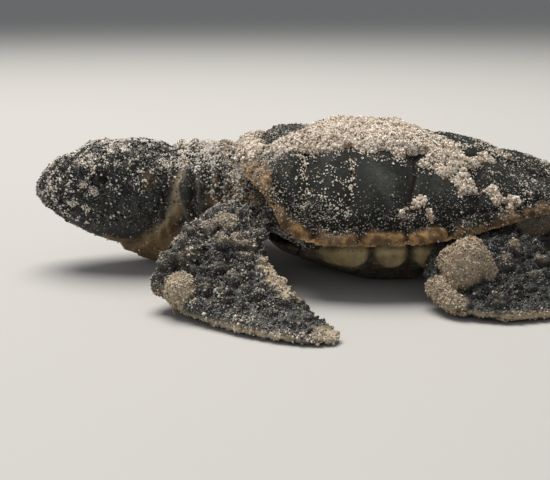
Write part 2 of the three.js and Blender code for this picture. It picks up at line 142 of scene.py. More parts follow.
RIM_EDGE = 0.97  # share of the farthest reach beyond which a point of the shell belongs to its edge
RIB_STEP = 0.6  # from one fine rib of the back to the next

# The belly's cross seams and the three plates of each bridge, along the shell.
BELLY_SEAMS = (7.4, 13.6, 20.6, 26.8, 33.4)
BRIDGE_SEAMS = (7.6, 14.8, 18.9, 23.4)
BRIDGE_INNER = 11.6  # how far the bridge's inner seam lies from the midline

# Sizes in millimetres and shares that several steps use.
BELLY_VOXEL, HEAP_VOXEL = 0.26, 0.24
MERGE = 0.002  # closer corners of the frame's loose triangles are one
PULL = 0.5  # share of the way to the middle of its neighbours that evening out moves a point
FAR = 9.0  # stands for a distance out of reach
HEAP_BASE = 0.3  # thickness of the heap's own sheet
CLAW_TIP = 0.25  # width of a claw's tip as a share of its root
GRAIN_SPREAD = 0.32  # how much grains differ in size
GRAIN_LIFT = 0.25  # how far a grain's middle stands above the surface, in grains
PATCH = 0.003  # width of a grain's patch on the map used for baking
MOST_TRIANGLES = 190000  # of a piece of grains
LIMB_SEED = 45  # added to the seed of the sand for the first limb, and one more for each that follows


# ---------- small mathematics ----------
def smooth_step(value, low, high):
    share = np.clip((value - low) / (high - low), 0, 1)
    return share * share * (3 - 2 * share)


def bump(distance, width):
    return np.exp(-((distance / width) ** 2))


def mix(a, b, share):
    return a + (b - a) * share


def chance(cell, seed):
    """A repeatable number from 0 to 1 for each whole-number cell."""
    n = cell[..., 0] * 73856093 ^ cell[..., 1] * 19349663 ^ cell[..., 2] * 83492791 ^ seed * 40503
    n = (n ^ (n >> 13)) & 0x7FFFFFFF
    n = (n * 1274126177) & 0x7FFFFFFF
    n = (n ^ (n >> 15)) * 2246822 & 0x7FFFFFFF
    return ((n >> 7) & 0xFFFFFF) / 0xFFFFFF


def rough(points, size, seed=0):
    """Smooth random relief from -1 to 1, with features of about the given size."""
    at = np.asarray(points) / size
    cell = np.floor(at).astype(np.int64)
    part = at - cell
    part = part * part * (3 - 2 * part)
    total = 0
    for corner in np.ndindex(2, 2, 2):
        weight = np.prod(np.where(corner, part, 1 - part), axis=-1)
        total = total + weight * chance(cell + np.array(corner), seed)
    return total * 2 - 1


def lookup(table, at):
    """A table's value at each place, on straight lines between its rows."""
    return np.interp(at, *np.transpose(table))


def layered(points, *layers):
    """Sums layers of random relief, each given by its strength, the size of its features and its seed."""
    return sum(strength * rough(points, size, seed) for strength, size, seed in layers)


def warped(points, depth, size, seed):
    """Points pushed about at random, so that what is drawn on them loses its evenness."""
    return points + depth * np.stack([rough(points, size, seed + k) for k in range(3)], axis=1)


def pebbles(points, size, seed=0):
    """Distance to the nearest of a scatter of centres and how much farther the next one is, in shares of the
    size, and each cell's own random number."""
    at = np.asarray(points) / size
    cell = np.floor(at).astype(np.int64)
    first = np.full(len(at), FAR)
    second = np.full(len(at), FAR)
    own = np.zeros(len(at))
    for step in np.ndindex(3, 3, 3):
        near = cell + np.array(step) - 1
        centre = near + np.stack([chance(near, seed + k) for k in range(3)], axis=-1)
        away = np.linalg.norm(centre - at, axis=-1)
        closer = away < first
        second = np.where(closer, first, np.minimum(second, away))
        own = np.where(closer, chance(near, seed + 7), own)
        first = np.where(closer, away, first)
    return first, second - first, own


def line_distance(plan, line):
    """Distance in plan from each point to a broken line, and how far along the line the nearest place is."""
    line = np.asarray(line, float)
    best = np.full(len(plan), 1e9)
    along = np.zeros(len(plan))
    run = 0.0
    for start, end in zip(line[:-1], line[1:]):
        way = end - start
        length = np.linalg.norm(way)
        share = np.clip(((plan - start) @ way) / length**2, 0, 1)
        away = np.linalg.norm(plan - start - share[:, None] * way, axis=1)
        closer = away < best
        along = np.where(closer, run + share * length, along)
        best = np.where(closer, away, best)
        run += length
    return best, along


def turned(points, angle, pivot):
    """Points turned about an upright axis."""
    c, s = math.cos(angle), math.sin(angle)
    out = np.array(points, float)
    x, y = points[:, 0] - pivot[0], points[:, 1] - pivot[1]
    out[:, 0] = pivot[0] + c * x - s * y
    out[:, 1] = pivot[1] + s * x + c * y
    return out


# ---------- meshes as arrays ----------
def read(items, key, width=1, kind=float):
    """One property of every vertex, edge or triangle as an array."""
    flat = np.empty(len(items) * width, kind)
    items.foreach_get(key, flat)
    return flat.reshape(-1, width) if width > 1 else flat


def points_of(mesh):
    return read(mesh.vertices, "co", 3) / MM - ORIGIN


def normals_of(mesh):
    return read(mesh.vertex_normals, "vector", 3)


def edges_of(mesh):
    return read(mesh.edges, "vertices", 2, np.int64)


def place(mesh, points):
    mesh.vertices.foreach_set("co", ((points + ORIGIN) * MM).ravel())
    mesh.update()


def spread(values, edges, rounds, push=0.0):
    """Evens out values or points over the mesh. A push undoes the shrinking of each pull."""
    values = np.array(values, float)
    flat = values.ndim == 1
    table = values[:, None] if flat else values
    a, b = edges.T
    n = len(table)
    count = np.maximum(np.bincount(a, minlength=n) + np.bincount(b, minlength=n), 1)[:, None]
    for _ in range(rounds):
        for step in (PULL, -push):
            if step:
                near = [np.bincount(a, column[b], n) + np.bincount(b, column[a], n) for column in table.T]
                table = table + step * (np.stack(near, axis=1) / count - table)
    return table[:, 0] if flat else table


def eased(mesh, rounds):
    """Evens out a mesh without shrinking it, and returns its points and its edges."""
    edges = edges_of(mesh)
    points = spread(points_of(mesh), edges, rounds, PULL)
    place(mesh, points)
    return points, edges


def keep_values(mesh, **values_by_name):
    """Stores numbers for each vertex, for the materials and for the steps that follow."""
    for name, values in values_by_name.items():
        layer = mesh.attributes.new(name, "FLOAT", "POINT")
        layer.data.foreach_set("value", np.asarray(values, np.float32))


def value_of(mesh, name):
    return read(mesh.attributes[name].data, "value", kind=np.float32)


def mesh_of(bm, name):
    """The bmesh as a mesh of its own; the bmesh is used up."""
    mesh = bpy.data.meshes.new(name)
    bm.to_mesh(mesh)
    bm.free()
    return mesh


def in_metres(bm, name, at):
    """A bmesh drawn in millimetres round the given place, as a mesh in metres."""
    bmesh.ops.translate(bm, verts=bm.verts, vec=at)
    bmesh.ops.scale(bm, vec=(MM,) * 3, verts=bm.verts)
    return mesh_of(bm, name)


def point_along(bm, verts, way):
    """Turns what was made along z so that it lies along another direction."""
    turn = Vector((0, 0, 1)).rotation_difference(Vector(way))
    bmesh.ops.rotate(bm, verts=verts, cent=(0, 0, 0), matrix=turn.to_matrix())


def gathered(names, swell=0.0):
    """The frame's nodes as one bmesh, merged, in millimetres, and swollen so that neighbours run together."""
    whole = bmesh.new()
    for name in names:
        part = bmesh.new()
        part.from_mesh(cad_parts[name].data)
        bmesh.ops.scale(part, vec=(1 / MM,) * 3, verts=part.verts)
        bmesh.ops.remove_doubles(part, verts=part.verts, dist=MERGE)
        part.normal_update()
        for vert in part.verts:
            vert.co += vert.normal * swell
        loose = mesh_of(part, "loose")
        whole.from_mesh(loose)
        bpy.data.meshes.remove(loose)
    return whole


def wrapped(bm, voxel):
    """One even surface round everything in the bmesh, back in metres."""
    source = mesh_of(bm, "wrap")
    holder = bpy.data.objects.new("wrap", source)
    bpy.context.scene.collection.objects.link(holder)
    modifier = holder.modifiers.new("wrap", "REMESH")
    modifier.mode = "VOXEL"
    modifier.voxel_size = voxel
    bpy.context.view_layer.update()
    graph = bpy.context.evaluated_depsgraph_get()
    mesh = bpy.data.meshes.new_from_object(holder.evaluated_get(graph))
    bpy.data.objects.remove(holder)
    bpy.data.meshes.remove(source)
    mesh.vertices.foreach_set("co", read(mesh.vertices, "co", 3).ravel() * MM)
    mesh.update()
    return mesh


def finer(mesh, wanted):
    """Splits every face whose corners are all wanted."""
    bm = bmesh.new()
    bm.from_mesh(mesh)
    bm.verts.ensure_lookup_table()
    faces = [f for f in bm.faces if all(wanted[v.index] for v in f.verts)]
    edges = list({e for f in faces for e in f.edges})
    bmesh.ops.subdivide_edges(bm, edges=edges, cuts=1, use_grid_fill=True)
    bmesh.ops.triangulate(bm, faces=[f for f in bm.faces if len(f.verts) > 4])
    bm.to_mesh(mesh)
    bm.free()
    return mesh


class NodeFinder:
    """Tells which of the frame's nodes each point lies nearest to."""

    def __init__(self, names):
        self.names = list(names)
        corners, faces, self.owner = [], [], []
        for index, name in enumerate(self.names):
            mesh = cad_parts[name].data
            start = len(corners)
            corners += [v.co / MM for v in mesh.vertices]
            faces += [[start + k for k in p.vertices] for p in mesh.polygons]
            self.owner += [index] * len(mesh.polygons)
        self.tree = BVHTree.FromPolygons(corners, faces)

    def nearest(self, points):
        found = [self.tree.find_nearest(p)[2] for p in points + ORIGIN]
        return np.array([self.owner[f] for f in found])

    def distance(self, points, reach=6.0):
        found = [self.tree.find_nearest(p, reach)[3] for p in points + ORIGIN]
        return np.array([reach if d is None else d for d in found])


def add_piece(name, mesh, material, slot, *replaced, smooth=True):
    """Puts a finished mesh into the scene as a piece of the animal."""
    old = bpy.data.objects.get(name)
    if old:
        bpy.data.objects.remove(old)
    piece = bpy.data.objects.new(name, mesh)
    mesh.name = name
    bpy.context.scene.collection.objects.link(piece)
    mesh.materials.clear()
    mesh.materials.append(material)
    mesh.polygons.foreach_set("use_smooth", np.full(len(mesh.polygons), smooth))
    mesh.update()
    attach(piece, "root")
    if replaced:
        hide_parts(*replaced)
    return piece


# ---------- where things are on the animal ----------
def on_straight_head(points):
    """Points on the head's straight axis: share of its length from the snout, sideways and height."""
    pivot = (SNOUT[0] + HEAD_LENGTH, 0)
    straight = turned(points, -HEAD_YAW, pivot)
    return (straight[:, 0] - SNOUT[0]) / HEAD_LENGTH, straight[:, 1], straight[:, 2] - SNOUT[2]


def turned_limb(points, side, limb, angle):
    """Points of a left limb, outwards being positive y, turned about its root where the side is the right."""
    root = (np.array(limb["lead"][1]) + np.array(limb["trail"][1])) / 2
    return turned(points, angle if side == RIGHT else 0, root)


def on_limb(points, side, limb):
    """Points brought to where they would be on the left limb, outwards being positive y."""
    near = np.array(points, float)
    near[:, 1] *= side
    return turned_limb(near, side, limb, -limb["swing"])


def off_limb(points, side, limb):
    """Points given for the left limb, brought to the limb on the given side."""
    out = turned_limb(np.array(points, float), side, limb, limb["swing"])
    out[:, 1] *= side
    return out


def round_crown(points):
    """Angle round the crown of the back, and distance from it in plan."""
    away = points[:, :2] - CROWN
    return np.arctan2(away[:, 1], away[:, 0]), np.hypot(*away.T)


def rim_of_shell():
    """The shell's outline: angle round the crown, reach from it, and height of the rim's lower edge."""
    points = points_of(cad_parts["carapace"].data)
    angle, reach = round_crown(points)
    found = []
    for a in np.linspace(-math.pi, math.pi, 2 * RIM_PLATES + 1):
        gap = np.abs((angle - a + math.pi) % (2 * math.pi) - math.pi)
        near = np.flatnonzero(gap < math.pi / RIM_PLATES)
        outer = near[reach[near] > RIM_EDGE * reach[near].max()]
        found.append((a, reach[outer].max(), points[outer, 2].min()))
    return np.array(found)


RIM = rim_of_shell()


def on_shell(points):
    """Angle round the crown, share of the way from the crown to the rim, and height above the rim's edge."""
    angle, away = round_crown(points)
    return angle, away / lookup(RIM[:, :2], angle), points[:, 2] - lookup(RIM[:, ::2], angle)


def rim_band_start(angle):
    """Share of the way to the rim at which its plates start: narrow at the flanks, broad at the ends."""
    return mix(0.86, 0.968, np.abs(np.sin(angle)) ** 1.5)


def rim_share(angle):
    """Where round the rim a point lies, counted in plates from the front notch."""
    turn, reach, _ = RIM.T
    x = CROWN[0] + reach * np.cos(turn)
    y = reach * np.sin(turn)
    run = np.concatenate([[0], np.cumsum(np.hypot(np.diff(x), np.diff(y)))])
    return np.interp(angle, turn, run / run[-1]) * RIM_PLATES


def lobe_of_rim(angle):
    """From 0 in the middle of a rim plate to 1 at its seams."""
    return np.abs(rim_share(angle) % 1 - 0.5) * 2


def shell_seams(points, normals):
    """Distance over the surface to the nearest seam between plates of the back."""
    x, side = points[:, 0], np.abs(points[:, 1])
    plan = np.stack([x, side], axis=1)
    angle, share, _ = on_shell(points)
    band = rim_band_start(angle)
    inside = share < band
    half = lookup(SPINE_EDGE, x)
    best = np.where(inside, line_distance(plan, SPINE_EDGE)[0], FAR)
    for seam in SPINE_SEAMS:
        wave = seam + 0.25 * np.cos(side * 1.3)
        best = np.minimum(best, np.where(inside & (side < half + SEAM_OVERLAP), np.abs(x - wave), FAR))
    for line in RIB_SEAMS:
        away, _ = line_distance(plan, line)
        best = np.minimum(best, np.where(inside & (side > half - SEAM_OVERLAP), away, FAR))
    steep = 1 / np.clip(np.abs(normals[:, 2]), 0.25, 1)
    best = np.minimum(best, np.abs(share - band) * lookup(RIM[:, :2], angle) * steep)
    place_round = rim_share(angle) % 1
    cross = np.minimum(place_round, 1 - place_round) * RIM_PLATE_WIDTH
    return np.minimum(best, np.where(inside, FAR, cross))


# The sand as the solid of the back has it: the height of its heap over the plates and its edges in plan, the
# left and right ones by x and the ends by y, and the clods beside it, with their places, radii and heights.
FRAME_HEAP = 0.95
HEAP_LEFT = [
    (2, -5), (4, -7.4), (6, -8.8), (9, -9.5), (14, -9.8), (20, -9.8), (23.2, -9.9), (26.5, -8),
    (28, -5),
]
HEAP_RIGHT = [(2, 1.5), (8, 5.5), (14, 6.5), (18, 4.5), (20.5, -0.5), (24, -3.2), (28, -4.5)]
HEAP_FRONT = [(-9, 3.2), (-6.5, 3.2), (-4.5, 5.6), (-2, 8.4), (6, 10)]
HEAP_REAR = [(-10, 25.4), (-3, 27.4), (5, 22)]
FRAME_CLODS = [
    (24.2, -11.0, 1.8, 0.9), (29.9, -10.6, 1.6, 0.6), (19.4, -14.8, 1.4, 0.4), (27.6, -6.4, 1.3, 0.6),
    (27.4, 6.4, 1.9, 0.9), (21.6, 12.6, 1.7, 0.8), (9.0, 12.4, 1.5, 0.7),
]

# The near edge of the heap as it crumbles, in plan.
HEAP_NEAR = [
    (2, -5), (3, -6.2), (4.6, -8.1), (7.3, -8.9), (11.3, -8.9), (12.1, -7.9), (13.2, -7.5),
    (14.1, -8.7),
]
HEAP_NEAR += [
    (15, -9.3), (18, -9.2), (20, -9.2), (21, -9.6), (24.4, -9.7), (25.5, -8.6), (26.8, -7), (28, -5),
]
HEAP_TAIL = [(-10, 25.4), (-7, 26.4), (-5, 25.8), (-3, 25.0), (0, 24.4), (5, 21.6)]
# Loose clumps beside the heap, in plan, with their radii.
CLUMPS = [
    (17.8, -15.6, 0.2), (18.4, -15.2, 0.26), (19.0, -14.9, 0.3), (19.6, -14.5, 0.34), (20.3, -14.1, 0.34),
    (20.9, -15.1, 0.28), (23.2, -10.0, 0.8), (24.3, -10.9, 0.9), (24.7, -11.5, 0.7), (25.5, -10.5, 0.85),
    (25.1, -9.5, 0.8), (28.0, -10.5, 0.34), (28.5, -10.1, 0.42), (29.0, -10.6, 0.3), (29.6, -10.6, 0.36),
    (30.3, -10.4, 0.34), (31.0, -10.2, 0.3), (30.2, -11.2, 0.28), (28.4, -11.2, 0.26), (28.3, -4.5, 0.6),
    (28.9, -5.2, 0.45), (27.1, -6.1, 0.5), (31.8, -2.4, 0.4), (26.9, 5.9, 0.9), (28.1, 7.0, 0.7),
    (27.9, 5.4, 0.5), (30.2, 7.6, 0.5), (31.2, 8.5, 0.4), (21.1, 12.1, 0.75), (22.3, 13.1, 0.6),
    (21.2, 13.5, 0.4), (8.5, 12.0, 0.7), (9.6, 12.9, 0.5), (9.9, 11.6, 0.35), (1.5, -1.0, 1.6),
    (1.9, -3.6, 1.7), (1.3, 1.5, 1.2), (2.5, -5.8, 1.3),
]

def sand_of_frame(x, y):
    """How thick sand lies on the solid of the back at a place."""
    sides = min(y - lookup(HEAP_LEFT, x), lookup(HEAP_RIGHT, x) - y)
    ends = min(x - lookup(HEAP_FRONT, y), lookup(HEAP_REAR, y) - x)
    cover = smooth_step(min(sides, ends), -0.5, 0.7)
    clods = [height * bump(math.hypot(x - cx, y - cy), radius) for cx, cy, radius, height in FRAME_CLODS]
    return mix(max(clods), FRAME_HEAP, cover)


def bare_back(voxel, rounds):
    """The solid of the back without its heap, evened out between its facets."""
    bm = gathered(["carapace"])
    for vert in bm.verts:
        if vert.normal.z > 0.1:
            vert.co.z -= sand_of_frame(vert.co.x - ORIGIN[0], vert.co.y - ORIGIN[1])
    mesh = wrapped(bm, voxel)
    points, edges = eased(mesh, 4)
    _, share, _ = on_shell(points)
    inner = smooth_step(normals_of(mesh)[:, 2], 0.1, 0.3) * smooth_step(share, 0.94, 0.86)
    place(mesh, mix(points, spread(points, edges, rounds), inner[:, None]))
    return mesh


def heap_depth(points):
    """How far inside the crumbling edge of the heap, and of a clump, each place is; below 0 outside."""
    x, y = points[:, 0], points[:, 1]
    ragged = layered(points, (0.5, 2.6, 11), (0.5, 1.0, 12), (0.4, 0.5, 14))
    crumbly = layered(points, (0.6, 0.9, 13), (0.6, 0.4, 15))
    holes = smooth_step(rough(points, 1.3, 16), 0.15, 0.5) * smooth_step(x, 15, 18) * smooth_step(y, -4.5, -6)
    inside = np.minimum(y - lookup(HEAP_NEAR, x), lookup(HEAP_RIGHT, x) - y)
    inside += mix(0.6, 1.3, smooth_step(x, 17, 21)) * ragged
    inside -= 3.4 * holes
    front = x - lookup(HEAP_FRONT, y) + ragged
    rear = lookup(HEAP_TAIL, y) - x + 1.6 * ragged
    clumps = [radius - np.hypot(x - cx, y - cy) - crumbly * min(1, radius) for cx, cy, radius in CLUMPS]
    return np.minimum(np.minimum(inside, front), rear), np.max(clumps, axis=0)


def heap_cover(points):
    """How thickly the heap lies at each place, from 0 to 1: thin at its edge and full some way in."""
    inside = np.max(heap_depth(points), axis=0)
    return 0.42 * smooth_step(inside, -0.1, 0.35) + 0.58 * smooth_step(inside, 0.2, 2.6)


# ---------- materials ----------
def linear(colour):
    return tuple(colour) + (1.0,)


class Shade:
    """A material or a node group under construction."""

    def __init__(self, tree):
        self.tree = tree

    def node(self, kind, **settings):
        made = self.tree.nodes.new(kind)
        for key, value in settings.items():
            setattr(made, key, value)
        return made

    def feed(self, socket, source):
        if isinstance(source, bpy.types.NodeSocket):
            self.tree.links.new(source, socket)
        else:
            socket.default_value = source

    def value(self, name):
        return self.node("ShaderNodeAttribute", attribute_name=name).outputs["Fac"]

    def coordinates(self):
        return self.node("ShaderNodeTexCoord").outputs["Object"]

    def stretched(self, scale):
        mapping = self.node("ShaderNodeMapping")
        self.feed(mapping.inputs["Vector"], self.coordinates())
        mapping.inputs["Scale"].default_value = scale
        return mapping.outputs["Vector"]

    def noise(self, size, detail=3.0, where=None):
        made = self.node("ShaderNodeTexNoise")
        self.feed(made.inputs["Vector"], where or self.coordinates())
        made.inputs["Scale"].default_value = 1 / (size * MM)
        made.inputs["Detail"].default_value = detail
        return made.outputs["Fac"]

    def cells(self, size):
        made = self.node("ShaderNodeTexVoronoi", feature="F1")
        self.feed(made.inputs["Vector"], self.coordinates())
        made.inputs["Scale"].default_value = 1 / (size * MM)
        return made.outputs

    def between(self, value, low, high, start=0.0, end=1.0):
        made = self.node("ShaderNodeMapRange", interpolation_type="SMOOTHSTEP")
        self.feed(made.inputs["Value"], value)
        for name, number in (("From Min", low), ("From Max", high), ("To Min", start), ("To Max", end)):
            self.feed(made.inputs[name], number)
        return made.outputs["Result"]

    def sum(self, kind, a, b):
        made = self.node("ShaderNodeMath", operation=kind)
        self.feed(made.inputs[0], a)
        self.feed(made.inputs[1], b)
        return made.outputs[0]

    def blend(self, share, a, b):
        made = self.node("ShaderNodeMix", data_type="RGBA")
        self.feed(made.inputs[0], share)
        for socket, colour in ((made.inputs[6], a), (made.inputs[7], b)):
            self.feed(socket, colour if isinstance(colour, bpy.types.NodeSocket) else linear(colour))
        return made.outputs[2]

    def ramp(self, value, stops):
        made = self.node("ShaderNodeValToRGB")
        self.feed(made.inputs["Fac"], value)
        elements = made.color_ramp.elements
        while len(elements) < len(stops):
            elements.new(0.5)
        for element, (position, colour) in zip(elements, stops):
            element.position = position
            element.color = linear(colour)
        return made.outputs["Color"]

    def bumped(self, height, depth, strength=1.0, under=None):
        made = self.node("ShaderNodeBump")
        made.inputs["Strength"].default_value = strength
        made.inputs["Distance"].default_value = depth * MM
        self.feed(made.inputs["Height"], height)
        if under:
            self.feed(made.inputs["Normal"], under)
        return made.outputs["Normal"]

    def dusted(self, sockets, surface, roughness, under, depth, strength=0.8):
        """Dusts a surface with fine sand and feeds it, its roughness and its relief to the shader."""
        made = self.node("ShaderNodeGroup", node_tree=sand_dust())
        sources = {"Surface": surface, "Cover": self.value("dust"), "Pale": self.value("bright")}
        for name, source in sources.items():
            self.feed(made.inputs[name], source)
        self.feed(sockets["Base Color"], made.outputs["Color"])
        self.feed(sockets["Roughness"], roughness)
        self.feed(sockets["Normal"], self.bumped(made.outputs["Height"], depth, strength, under))


def new_material(name):
    old = bpy.data.materials.get(name)
    if old:
        bpy.data.materials.remove(old)
    material = bpy.data.materials.new(name)
    material.use_nodes = True
    shader = material.node_tree.nodes["Principled BSDF"]
    return material, Shade(material.node_tree), shader.inputs


def sand_dust():
    """Fine sand that clings to a surface: specks of pale, tan and dark grain under a given cover."""
    tree = bpy.data.node_groups.get("sand_dust")
    if tree:
        return tree
    tree = bpy.data.node_groups.new("sand_dust", "ShaderNodeTree")
    ends = {
        "INPUT": {"Surface": "NodeSocketColor", "Cover": "NodeSocketFloat", "Pale": "NodeSocketFloat"},
        "OUTPUT": {"Color": "NodeSocketColor", "Height": "NodeSocketFloat"},
    }
    for end, kinds in ends.items():
        for name, kind in kinds.items():
            tree.interface.new_socket(name, in_out=end, socket_type=kind)
    shade = Shade(tree)
    inputs = shade.node("NodeGroupInput").outputs
    outputs = shade.node("NodeGroupOutput").inputs
    grain = shade.cells(0.17)
    parts = shade.node("ShaderNodeSeparateColor")
    shade.feed(parts.inputs["Color"], grain["Color"])
    clump = shade.sum("MULTIPLY", shade.sum("SUBTRACT", shade.noise(0.9, 2.0), 0.5), 0.9)
    chance_here = shade.sum("ADD", parts.outputs["Red"], clump)
    shown = shade.sum("LESS_THAN", chance_here, inputs["Cover"])
    mask = shade.sum("MULTIPLY", shown, shade.between(grain["Distance"], 0.55, 0.3))
    dark_stops = [(0.0, (0.03, 0.03, 0.028)), (0.45, (0.12, 0.11, 0.1)), (1.0, (0.4, 0.36, 0.31))]
    pale_stops = [(0.0, (0.25, 0.2, 0.15)), (0.35, (0.5, 0.43, 0.34)), (1.0, (0.86, 0.81, 0.73))]
    dark, pale = (shade.ramp(parts.outputs["Green"], stops) for stops in (dark_stops, pale_stops))
    colour = shade.blend(inputs["Pale"], dark, pale)
    shade.feed(outputs["Color"], shade.blend(mask, inputs["Surface"], colour))
    shade.feed(outputs["Height"], mask)
    return tree


def skin_material(look):
    material, shade, sockets = new_material("scaly_skin")
    dark = shade.blend(shade.noise(1.6, 4), look.dark, look.grey)
    # Creases, gaps between scales, the mouth line and the eye sockets are darkened with painted shade.
    base = shade.blend(shade.sum("MULTIPLY", shade.value("crease"), 0.9), dark, look.crease)
    for word, patch_size in (("pale", 0.7), ("tan", 1.1), ("caked", 0.5)):
        tone = shade.blend(shade.noise(patch_size), getattr(look, word), getattr(look, word + "_deep"))
        base = shade.blend(shade.value(word), base, tone)
    sockets["Specular IOR Level"].default_value = 0.35
    fine = shade.bumped(shade.noise(0.22, 3), 0.05, 0.6)
    pebbled = shade.bumped(shade.cells(0.42)["Distance"], 0.08, 0.5, fine)
    roughness = shade.between(shade.noise(0.8), 0.3, 0.7, 0.5, 0.8)
    shade.dusted(sockets, base, roughness, pebbled, 0.06)
    return material


def shell_material(look):
    material, shade, sockets = new_material("back_plates")
    streak = shade.noise(0.5, 4, shade.stretched((1.6, 0.16, 0.16)))
    horn = shade.blend(shade.between(streak, 0.35, 0.65), look.dark, look.green)
    cloudy = shade.between(shade.noise(3.0, 3), 0.4, 0.65)
    # Painted highlight: the middle of each swelling plate is lighter.
    horn = shade.blend(shade.sum("MULTIPLY", shade.value("middle"), cloudy), horn, look.worn)
    horn = shade.blend(shade.between(shade.noise(0.3, 4), 0.42, 0.62, 0.0, 0.55), horn, look.dark)
    horn = shade.blend(shade.value("crease"), horn, look.seam)
    rim = shade.blend(shade.between(shade.noise(0.9, 4), 0.38, 0.62), look.rim, look.rim_deep)
    horn = shade.blend(shade.value("rim"), horn, rim)
    sockets["Specular IOR Level"].default_value = 0.16
    mottled = shade.bumped(shade.noise(0.35, 4), 0.06, 0.6)
    fibres = shade.bumped(streak, 0.05, 0.6, mottled)
    shade.dusted(sockets, horn, shade.between(streak, 0.3, 0.7, 0.7, 0.9), fibres, 0.07)
    return material


def belly_material(look):
    material, shade, sockets = new_material("belly_plates")
    horn = shade.blend(shade.between(shade.noise(1.8, 4), 0.35, 0.65), look.belly, look.belly_deep)
    brown = shade.blend(shade.noise(2.2, 4), look.brown, look.brown_deep)
    horn = shade.blend(shade.value("shaded"), horn, brown)
    horn = shade.blend(shade.value("crease"), horn, look.seam)
    fine = shade.bumped(shade.noise(0.3, 3), 0.04, 0.5)
    roughness = shade.between(shade.noise(0.9), 0.3, 0.7, 0.45, 0.7)
    shade.dusted(sockets, horn, roughness, fine, 0.05, 0.7)
    return material


def grain_material(look):
    """Loose grains: quartz, shell and dark mineral, each grain of one colour."""
    material, shade, sockets = new_material("sand_grains")
    tone = shade.value("tone")
    mixes = {
        "dry": [(0.0, "dark"), (0.13, "tan"), (0.38, "cream"), (0.8, "white"), (1.0, "pink")],
        "dull": [(0.0, "black"), (0.5, "dark"), (0.82, "grey"), (0.93, "tan"), (1.0, "cream")],
        "damp": [(0.0, "dark"), (0.1, "tan"), (0.55, "damp"), (1.0, "cream")],
    }
    dry, dull, damp = (
        shade.ramp(tone, [(at, getattr(look, "grain_" + word)) for at, word in stops])
        for stops in mixes.values()
    )
    colour = shade.blend(shade.value("bright"), dull, dry)
    colour = shade.blend(shade.value("damp"), colour, damp)
    shade.feed(sockets["Base Color"], colour)
    shade.feed(sockets["Roughness"], shade.between(shade.value("bright"), 0.1, 0.8, 0.32, 0.7))
    sockets["Specular IOR Level"].default_value = 0.5
    return material


def eye_material(look):
    material, shade, sockets = new_material("dark_eye")
    off_axis = shade.value("off_axis")
    iris = shade.blend(shade.noise(0.12, 3), look.iris, look.iris_deep)
    ball = shade.blend(shade.between(off_axis, 0.3, 0.36), look.pupil, iris)
    ball = shade.blend(shade.between(off_axis, 0.72, 0.85), ball, look.pupil)
    shade.feed(sockets["Base Color"], ball)
    sockets["Roughness"].default_value = 0.2
    sockets["Coat Weight"].default_value = 0.1
    sockets["Specular IOR Level"].default_value = 0.25
    return material


def claw_material(look):
    material, shade, sockets = new_material("claw_horn")
    shade.feed(sockets["Base Color"], shade.blend(shade.noise(0.4, 3), look.claw, look.claw_deep))
    sockets["Roughness"].default_value = 0.4
    return material


# ---------- settings ----------
def tint(name, words, default):
    return FloatVectorProperty(
        name=name, description=words, subtype="COLOR", size=3, min=0, max=1, default=default
    )


class TurtleSkinSettings(bpy.types.PropertyGroup):
    """Sizes and colours of the skin."""

    coat: FloatProperty(name="Coat", description="Depth of the sand coat over the skin, mm", default=0.16)
    voxel: FloatProperty(name="Wrap", description="Grid size of the wrap round the flesh, mm", default=0.44)
    scale_size: FloatProperty(name="Head scales", description="Size of the head's scales, mm", default=2.3)
    dark: tint("Dark", "Dark skin", (0.022, 0.022, 0.02))
    grey: tint("Grey", "Greyer skin", (0.06, 0.06, 0.056))
    # Painted shade in the creases, between the scales and round the eyes.
    crease: tint("Crease", "Skin between the scales", (0.008, 0.008, 0.007))
    pale: tint("Pale", "Cream scales and folds", (0.5, 0.41, 0.27))
    pale_deep: tint("Deep cream", "Darker cream", (0.3, 0.23, 0.14))
    tan: tint("Tan", "Throat and soft underside", (0.3, 0.19, 0.09))
    tan_deep: tint("Deep tan", "Darker throat", (0.19, 0.12, 0.06))
    caked: tint("Caked sand", "Damp sand stuck to the limbs", (0.46, 0.38, 0.27))
    caked_deep: tint("Damp sand", "Darker damp sand", (0.27, 0.21, 0.14))


class TurtleShellSettings(bpy.types.PropertyGroup):
    """Sizes and colours of the shell."""

    voxel: FloatProperty(name="Wrap", description="Grid size of the wrap round the shell, mm", default=0.21)
    inset: FloatProperty(name="Inset", description="Depth of the sand coat over the plates, mm", default=0.16)
    seam_depth: FloatProperty(name="Seams", description="Depth of the seams between plates, mm", default=0.24)
    plate_rise: FloatProperty(name="Plate rise", description="How far plates swell, mm", default=0.2)
    dark: tint("Dark", "Dark horn of the back", (0.008, 0.0085, 0.0075))
    green: tint("Green", "Greener horn of the back", (0.019, 0.0205, 0.0175))
    # The paler middle of each plate is a painted highlight.
    worn: tint("Worn", "Paler middle of each plate", (0.05, 0.0515, 0.045))
    seam: tint("Seam", "Seams between plates", (0.02, 0.014, 0.009))
    rim: tint("Rim", "Tan edge of the rim plates", (0.48, 0.275, 0.112))
    rim_deep: tint("Deep rim", "Darker edge of the rim plates", (0.17, 0.103, 0.05))
    belly: tint("Belly", "Horn of the belly", (0.36, 0.28, 0.13))
    # Brown of the belly plates, also laid as painted shade below the bridges.
    brown: tint("Brown", "Brown of the belly plates", (0.06, 0.043, 0.026))
    brown_deep: tint("Deep brown", "Darker brown of the belly plates", (0.025, 0.018, 0.012))
    belly_deep: tint("Deep belly", "Darker horn of the belly", (0.17, 0.115, 0.055))


